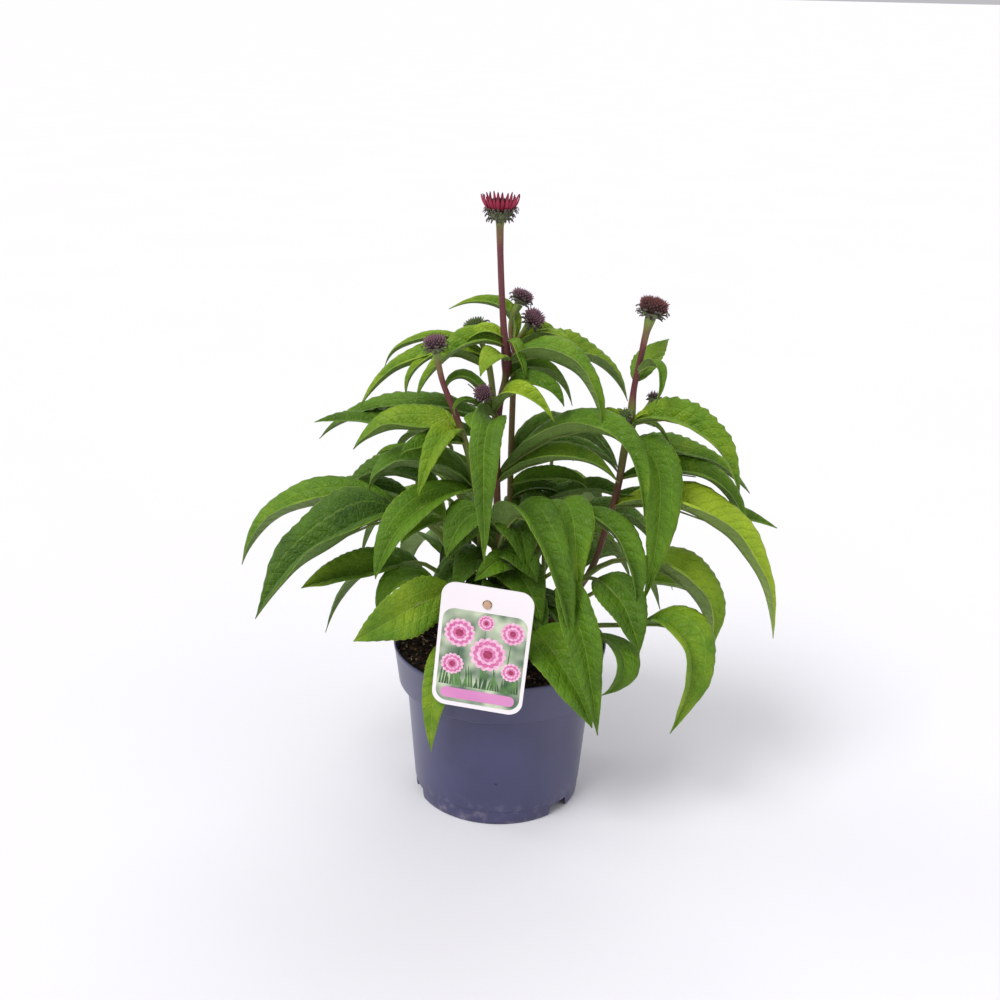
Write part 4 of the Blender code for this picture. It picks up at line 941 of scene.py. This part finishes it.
def bloom(limb):
    """The opening flower: a cup of hooked bracts, and upright rays round a dark drum."""
    rng = random.Random("bloom")
    cup, high = BLOOM_CUP_RADIUS, BLOOM_CUP_HEIGHT
    profile = [(0.0, high), (cup, high), (cup, high * 0.7), (cup * 0.75, high * 0.3), (3.8, 0.0),
               (0.0, 0.0)]
    bm = head_core([(out * MM, up * MM) for out, up in profile], 0, 0)
    for row, (level, start, reach, rise) in enumerate(BLOOM_BRACT_ROWS):
        for index in range(BLOOM_BRACTS_A_ROW):
            angle = (index + row / 2) * math.tau / BLOOM_BRACTS_A_ROW + rng.uniform(-0.09, 0.09)
            far = reach * rng.uniform(0.85, 1.15)
            strap(bm, angle, (start, level), (start + far * 0.66, level + rise + 0.8),
                  (start + far, level + rise - rng.uniform(0.8, 2.8)), rng.uniform(1.7, 2.3),
                  0, along=8, across=2)
    finish_head("bloom_bracts", bm, limb, (BRACT,))

    low = BLOOM_CUP_HEIGHT + 0.3
    profile = [(0.0, low + 8.0), (5.5, low + 7.8), (9.6, low + 7.0), (11.0, low + 5.0),
               (9.6, low + 1.2), (cup * 0.96, low), (0.0, low)]
    bm = head_core([(out * MM, up * MM) for out, up in profile], 1, 1)
    for index in range(BLOOM_RAYS):
        angle = index * math.tau / BLOOM_RAYS + rng.uniform(-0.05, 0.05)
        tall = 13.6 + rng.uniform(-1.0, 1.0)
        wide = 15.0 + 0.8 * (index % 3) + rng.uniform(-0.4, 0.4)
        strap(bm, angle, (9.8, low + 1.4), (13.2 + index % 2 * 0.8, low + 7.0),
              (wide, low + tall), rng.uniform(2.3, 3.0), 0, notch=0.9, cup=-0.20)
    for index in range(BLOOM_FLORETS):
        share = math.sqrt((index + 0.5) / BLOOM_FLORETS)
        out = outward(math.degrees(index * GOLDEN_TURN))
        foot = out * 10.6 * share + UP * (low + 7.0 - 1.6 * share ** 3)
        lean = (UP + out * (0.1 + 0.6 * share ** 2)).normalized()
        spike(bm, foot * MM, (foot + lean * rng.uniform(3.2, 4.8)) * MM, 0.7 * MM, 1)
    finish_head("bloom_rays", bm, limb, (RAY, DISC))


def flower_heads():
    bloom(TALL_STEM)
    bud("bud_left_stem", LEFT_STEM, 8.6, 13.0, 3.7)
    bud("bud_side_shoot", SIDE_SHOOT, 6.6, 10.0, 2.8, 70, 36)
    bud("bud_right_fork", RIGHT_FORK, 8.2, 12.5, 3.6)
    bud("bud_left_fork", LEFT_FORK, 8.4, 11.5, 4.0)
    bud("bud_back_stem", BACK_STEM, 9.0, 13.0, 3.4, 90, 60, 1.5, FLORET_GREEN)
    bud("bud_right_stem", RIGHT_STEM, 11.2, 16.0, 4.8, 150, 54, 0.9, FLORET_RIPE)
    bud("bud_green_shoot", GREEN_SHOOT, 4.6, 7.5, 2.2, 28, 24, 1.3, FLORET_GREEN)
    bud("bud_small_shoot", SMALL_SHOOT, 5.0, 8.5, 2.2, 36, 21)


# Pot and soil

POT_HEIGHT = 0.146
POT_TOP_RADIUS = 0.095
COLLAR_FOOT = 0.110
COLLAR_FOOT_RADIUS = 0.0902
BODY_TOP_RADIUS = 0.0832
POT_FOOT_RADIUS = 0.0743
POT_WALL = 0.0016
FLOOR_HEIGHT = 0.010
FOOT_STEP = 0.014
NOTCH_ANGLES = (-41.5, 78.5, 198.5)
NOTCH_HEIGHT = 0.0095
NOTCH_WIDTHS = (0.026, 0.020)
DRAIN_HOLES = 8
DRAIN_RADIUS = 0.005
DRAIN_RING = 0.048
DRAIN_STUD_RADIUS = 0.012
SOIL_FIT = 0.0003
SOIL_CHIPS = 620


def nursery_pot():
    """The pot: its inside down to the floor, then outside down the collar, body and foot."""
    wall = POT_WALL
    collar, body = COLLAR_FOOT_RADIUS, BODY_TOP_RADIUS
    lip, foot = POT_TOP_RADIUS, POT_FOOT_RADIUS
    floor, ledge = FLOOR_HEIGHT + wall, COLLAR_FOOT - wall
    profile = [
        (0.0, floor), (foot - wall - 0.003, floor), (foot - wall, floor + 0.003),
        (body - wall, COLLAR_FOOT), (collar - wall, COLLAR_FOOT + wall),
        (lip - wall, POT_HEIGHT - 0.0006), (lip - wall + 0.0004, POT_HEIGHT - 0.0001),
        (lip - 0.0008, POT_HEIGHT), (lip - 0.0002, POT_HEIGHT - 0.0003),
        (lip, POT_HEIGHT - 0.0010), (lip - 0.0003, POT_HEIGHT - 0.0034),
        (lip - 0.0007, POT_HEIGHT - 0.0040),
        (collar + 0.0002, COLLAR_FOOT + 0.0010), (collar - 0.0004, COLLAR_FOOT),
        (collar - 0.0012, COLLAR_FOOT - 0.0004),
        (body + 0.0016, ledge + 0.0004), (body + 0.0004, ledge - 0.0004),
        (body - 0.0001, ledge - 0.0018),
        (foot + 0.0014, FOOT_STEP), (foot + 0.0005, FOOT_STEP - 0.0008),
        (foot + 0.0002, 0.0040), (foot - 0.0002, 0.0008), (foot - 0.0010, 0.0),
        (foot - wall, 0.0), (foot - wall, FLOOR_HEIGHT),
        (DRAIN_STUD_RADIUS + 0.0018, FLOOR_HEIGHT), (DRAIN_STUD_RADIUS, 0.0), (0.0, 0.0),
    ]
    pot = plain_piece(turned(profile, 144), "pot_moulded")
    wide, narrow = NOTCH_WIDTHS
    for angle in NOTCH_ANGLES:
        bm = bmesh.new()
        bmesh.ops.create_cube(bm, size=1.0)
        for vert in bm.verts:
            high = vert.co.z > 0
            vert.co = (0.012 * vert.co.x + foot - 0.001, vert.co.y * (narrow if high else wide),
                       NOTCH_HEIGHT if high else -0.004)
        bmesh.ops.rotate(bm, matrix=Matrix.Rotation(math.radians(angle), 3, "Z"), verts=bm.verts)
        cut_away(pot, bm)
    for index in range(DRAIN_HOLES):
        spot = outward((index + 0.5) * 360 / DRAIN_HOLES) * DRAIN_RING + UP * 0.0105
        bm = bmesh.new()
        bmesh.ops.create_cone(bm, cap_ends=True, segments=24, radius1=DRAIN_RADIUS,
                              radius2=DRAIN_RADIUS, depth=0.012, matrix=Matrix.Translation(spot))
        cut_away(pot, bm)
    pot.data.materials.clear()
    pot.data.materials.append(pot_surface())
    pot.data.shade_smooth()
    pot.data.set_sharp_from_angle(angle=math.radians(40))
    stand_for(pot, "pot")


def compost():
    """The root ball with its rough top, and crumbs and bark on it."""
    rng = random.Random(19)
    level = 0.131
    wall = POT_WALL + 0.0004
    side, under = wall + SOIL_FIT, FLOOR_HEIGHT + POT_WALL + 0.0004
    edge = COLLAR_FOOT_RADIUS + (POT_TOP_RADIUS - COLLAR_FOOT_RADIUS) * (0.0235 / 0.036) - wall
    profile = [(edge * i / 40, level + (0.0025 if i > 36 else 0.0)) for i in range(41)]
    profile += [(COLLAR_FOOT_RADIUS - side, COLLAR_FOOT + 0.004),
                (BODY_TOP_RADIUS - side - SOIL_FIT, COLLAR_FOOT + 0.0002),
                (POT_FOOT_RADIUS - side, under + 0.0028),
                (POT_FOOT_RADIUS - wall - 0.0030, under), (0.0, under)]
    bm = turned(profile, 160)
    for vert in bm.verts:
        if vert.co.z > 0.128 and math.hypot(vert.co.x, vert.co.y) < edge - 0.0005:
            rough = noise.noise(vert.co * 60.0) * 1.6 + noise.noise(vert.co * 190.0) * 1.0
            rough += noise.noise(vert.co * 520.0) * 0.6
            vert.co.z += rough * MM
    for _ in range(SOIL_CHIPS):
        angle = rng.uniform(0, math.tau)
        far = edge * 0.96 * math.sqrt(rng.random())
        spot = outward(math.degrees(angle)) * far + UP * level
        spot.z += noise.noise(spot * 60.0) * 1.6 * MM + 0.0005
        size = rng.uniform(0.5, 1.9) * MM
        turn = Matrix.Rotation(rng.uniform(0, math.tau), 4, "Z")
        tilt = Matrix.Rotation(rng.uniform(-0.8, 0.8), 4, "X")
        shape = Matrix.Diagonal((rng.uniform(0.8, 2.4), rng.uniform(0.6, 1.1),
                                 rng.uniform(0.35, 0.8), 1.0))
        made = bmesh.ops.create_icosphere(bm, subdivisions=1, radius=size,
                                          matrix=Matrix.Translation(spot) @ turn @ tilt @ shape)
        for vert in made["verts"]:
            vert.co += noise.noise_vector(vert.co * 900.0) * size * 0.35
    for face in bm.faces:
        face.smooth = False
    finish_piece(bm, "soil", (compost_surface(),))


# Picture label

CARD_WIDTH = 0.076
CARD_HEIGHT = 0.112
CARD_THICKNESS = 0.0008
CARD_CENTRE = (-0.0144, -0.1045, 0.188)
CARD_HOLE_DROP = 0.0155
CARD_HOLE_RADIUS = 0.004
STEP_UP = Matrix.Rotation(math.radians(90), 3, "X")
GRASS_FOOT = -0.0365
GRASS_BLADES = 30
# Centre and radius of each printed flower, and the rings of petals that make one up: its
# share of the radius, its petals, and its ink
POMPONS = ((-0.020, 0.012, 0.0115), (0.005, -0.004, 0.0135), (0.0235, 0.018, 0.0090),
           (-0.0235, -0.017, 0.0085), (0.0255, -0.017, 0.0075), (0.001, 0.024, 0.0062))
POMPON_RINGS = ((1.0, 15, 3), (0.80, 13, 2), (0.60, 11, 3), (0.44, 9, 2), (0.26, 7, 4))
# Width, height, corner and steps of the printed panels
PICTURE = (0.070, 0.085, 0.010, 10)
BAND = (0.062, 0.0095, 0.0045, 8)
# Board and inks: name, two colours, roughness, and size of their clouding in millimetres
BOARD_AND_INKS = (
    ("coated_card_white", "F3ECEE", "F8F2F4", 0.35, 83),
    ("ink_meadow", "506E54", "CDD8BA", 0.3, 16.1),
    ("ink_rose", "D0609C", "DE7FB2", 0.3, 3.33),
    ("ink_blush", "EDA9CB", "F6CCE0", 0.3, 3.33),
    ("ink_magenta", "961E4C", "B33A66", 0.3, 1.67),
    ("ink_leaf", "2C5426", "5A8A42", 0.3, 8.33),
    ("ink_pink_band", "D985BE", "E29BCB", 0.3, 50),
)


def rounded_panel(width, height, corner, segments):
    """A flat rounded rectangle in X and Y."""
    bm = bmesh.new()
    bmesh.ops.create_grid(bm, x_segments=1, y_segments=1, size=0.5)
    bmesh.ops.scale(bm, vec=(width, height, 1.0), verts=bm.verts)
    bmesh.ops.bevel(bm, geom=list(bm.verts), offset=corner, segments=segments, profile=0.5,
                    affect="VERTICES", material=-1)
    return bm


def petal_round(radius, petals, spread):
    """A flat round motif with scalloped edges, in X and Y."""
    bm = bmesh.new()
    bmesh.ops.create_circle(bm, cap_ends=True, segments=petals * 8, radius=radius)
    for vert in bm.verts:
        angle = math.atan2(vert.co.y, vert.co.x)
        vert.co *= 1 + spread * abs(math.sin(angle * petals / 2))
    return bm


def grass_blade(width, height, lean):
    """A flat bent blade in X and Y."""
    bm = bmesh.new()
    corners = ((-width, 0), (width, 0), (lean * 0.5 + width * 0.8, height * 0.6), (lean, height),
               (lean * 0.5 - width * 0.8, height * 0.6))
    bm.faces.new([bm.verts.new((x, y, 0)) for x, y in corners])
    return bm


def upright_shape(bm, front, thickness, slot):
    """Stands the flat faces of bm up in the card's plane and gives them a thickness."""
    bmesh.ops.rotate(bm, matrix=STEP_UP, verts=bm.verts)
    made = bmesh.ops.extrude_face_region(bm, geom=list(bm.faces))
    moved = [item for item in made["geom"] if isinstance(item, bmesh.types.BMVert)]
    bmesh.ops.translate(bm, vec=(0.0, thickness, 0.0), verts=moved)
    bmesh.ops.translate(bm, vec=(0.0, front, 0.0), verts=bm.verts)
    bmesh.ops.recalc_face_normals(bm, faces=bm.faces)
    for face in bm.faces:
        face.material_index = slot


def inlay(card, shape, x, z, depth, slot, turn=0.0):
    """Prints a flat shape on the card's front, as a layer of ink that stands 'depth' proud."""
    bmesh.ops.rotate(shape, matrix=Matrix.Rotation(turn, 3, "Z"), verts=shape.verts)
    upright_shape(shape, -CARD_THICKNESS / 2 - depth, depth, slot)
    bmesh.ops.translate(shape, vec=(x, 0.0, z), verts=shape.verts)
    mesh = bpy.data.meshes.new("ink")
    shape.to_mesh(mesh)
    shape.free()
    card.from_mesh(mesh)
    bpy.data.meshes.remove(mesh)


def picture_label():
    """A white card printed with a soft meadow of round pompons and grass."""
    board = rounded_panel(CARD_WIDTH, CARD_HEIGHT, 0.012, 12)
    upright_shape(board, -CARD_THICKNESS / 2, CARD_THICKNESS, 0)
    board = plain_piece(board, "board")
    drill = bmesh.new()
    bmesh.ops.create_cone(drill, cap_ends=True, segments=40, radius1=CARD_HOLE_RADIUS,
                          radius2=CARD_HOLE_RADIUS, depth=0.02, matrix=STEP_UP.to_4x4())
    bmesh.ops.translate(drill, vec=(0.0, 0.0, CARD_HEIGHT / 2 - CARD_HOLE_DROP), verts=drill.verts)
    cut_away(board, drill)
    card = bmesh.new()
    card.from_mesh(board.data)
    bpy.data.objects.remove(board)

    inlay(card, rounded_panel(*PICTURE), 0.0, -0.0095, 0.00010, 1)
    inlay(card, rounded_panel(*BAND), 0.0, -0.0440, 0.00014, 6)
    rng = random.Random(5)
    for x, z, _ in POMPONS:
        inlay(card, grass_blade(0.0006, z - GRASS_FOOT, x * 0.1), x * 0.9, GRASS_FOOT, 0.00016, 5)
    for index in range(GRASS_BLADES):
        x = -0.0325 + 0.065 * index / (GRASS_BLADES - 1)
        blade = grass_blade(0.0009, rng.uniform(0.008, 0.024), rng.uniform(-0.003, 0.003))
        inlay(card, blade, x, GRASS_FOOT, 0.00018 + 0.00001 * (index % 3), 5)
    for index, (x, z, radius) in enumerate(POMPONS):
        for ring, (share, petals, ink) in enumerate(POMPON_RINGS):
            shape = petal_round(radius * share, petals, 0.16 if ring else 0.14)
            depth = 0.00022 + 0.00003 * (index % 3) + 0.00004 * ring
            inlay(card, shape, x, z, depth, ink, rng.uniform(0, 1))
    place = (Matrix.Translation(CARD_CENTRE) @ Matrix.Rotation(math.radians(-8.0), 4, "Z")
             @ Matrix.Rotation(math.radians(4.8), 4, "Y"))
    bmesh.ops.transform(card, matrix=place, verts=card.verts)
    finish_piece(card, "label_card",
                 [clouded_surface(*ink, Coat_Weight=0.15) for ink in BOARD_AND_INKS])
    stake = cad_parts["label_stake"]
    stake.data.materials.clear()
    stake.data.materials.append(clouded_surface("moulded_polystyrene", "BF9A80", "CBA88E", 0.45,
                                                16.7, Coat_Weight=0.15))


# Studio

def add_sun(name, place, spread, power):
    """A large soft light, far enough away to light the floor evenly."""
    data = bpy.data.lights.new(name, "SUN")
    data.angle = math.radians(spread)
    data.energy = power
    lamp = bpy.data.objects.new(name, data)
    lamp.rotation_euler = Vector(place).to_track_quat("Z", "Y").to_euler()
    bpy.context.scene.collection.objects.link(lamp)


def studio():
    scene = bpy.context.scene
    bm = bmesh.new()
    bmesh.ops.create_grid(bm, x_segments=1, y_segments=1, size=60.0)
    paint = clouded_surface("painted_floor", "E3E2E6", "E4E3E7", 0.9, 333, Specular_IOR_Level=0.1)
    plain_piece(bm, "floor", (paint,))

    scene.world = bpy.data.worlds.new("studio")
    scene.world.use_nodes = True
    sky = scene.world.node_tree.nodes["Background"]
    sky.inputs["Color"].default_value = linear("F7F6FA")
    sky.inputs["Strength"].default_value = 0.56
    add_sun("key", (-0.50, -0.55, 1.0), 28, 1.95)
    add_sun("fill", (0.90, -0.60, 0.7), 50, 0.30)
    add_sun("back", (0.25, 0.80, 0.9), 40, 0.80)
    add_sun("edge", (-0.90, 0.30, 0.35), 24, 0.50)

    # The photograph's viewpoint, 1.1 m in front, looking 20.7 degrees down, slightly rolled
    data = bpy.data.cameras.new("photo_camera")
    data.lens = 50.0
    data.sensor_width = 36.0
    data.clip_start = 0.01
    camera = bpy.data.objects.new("photo_camera", data)
    camera.matrix_world = (Matrix.Translation((-0.0029, -1.122, 0.703))
                           @ Matrix.Rotation(math.radians(90 - 20.7), 4, "X")
                           @ Matrix.Rotation(math.radians(1.35), 4, "Z"))
    scene.collection.objects.link(camera)
    scene.camera = camera
    scene.view_settings.view_transform = "Standard"


grow_plant()
flower_heads()
nursery_pot()
compost()
picture_label()
studio()
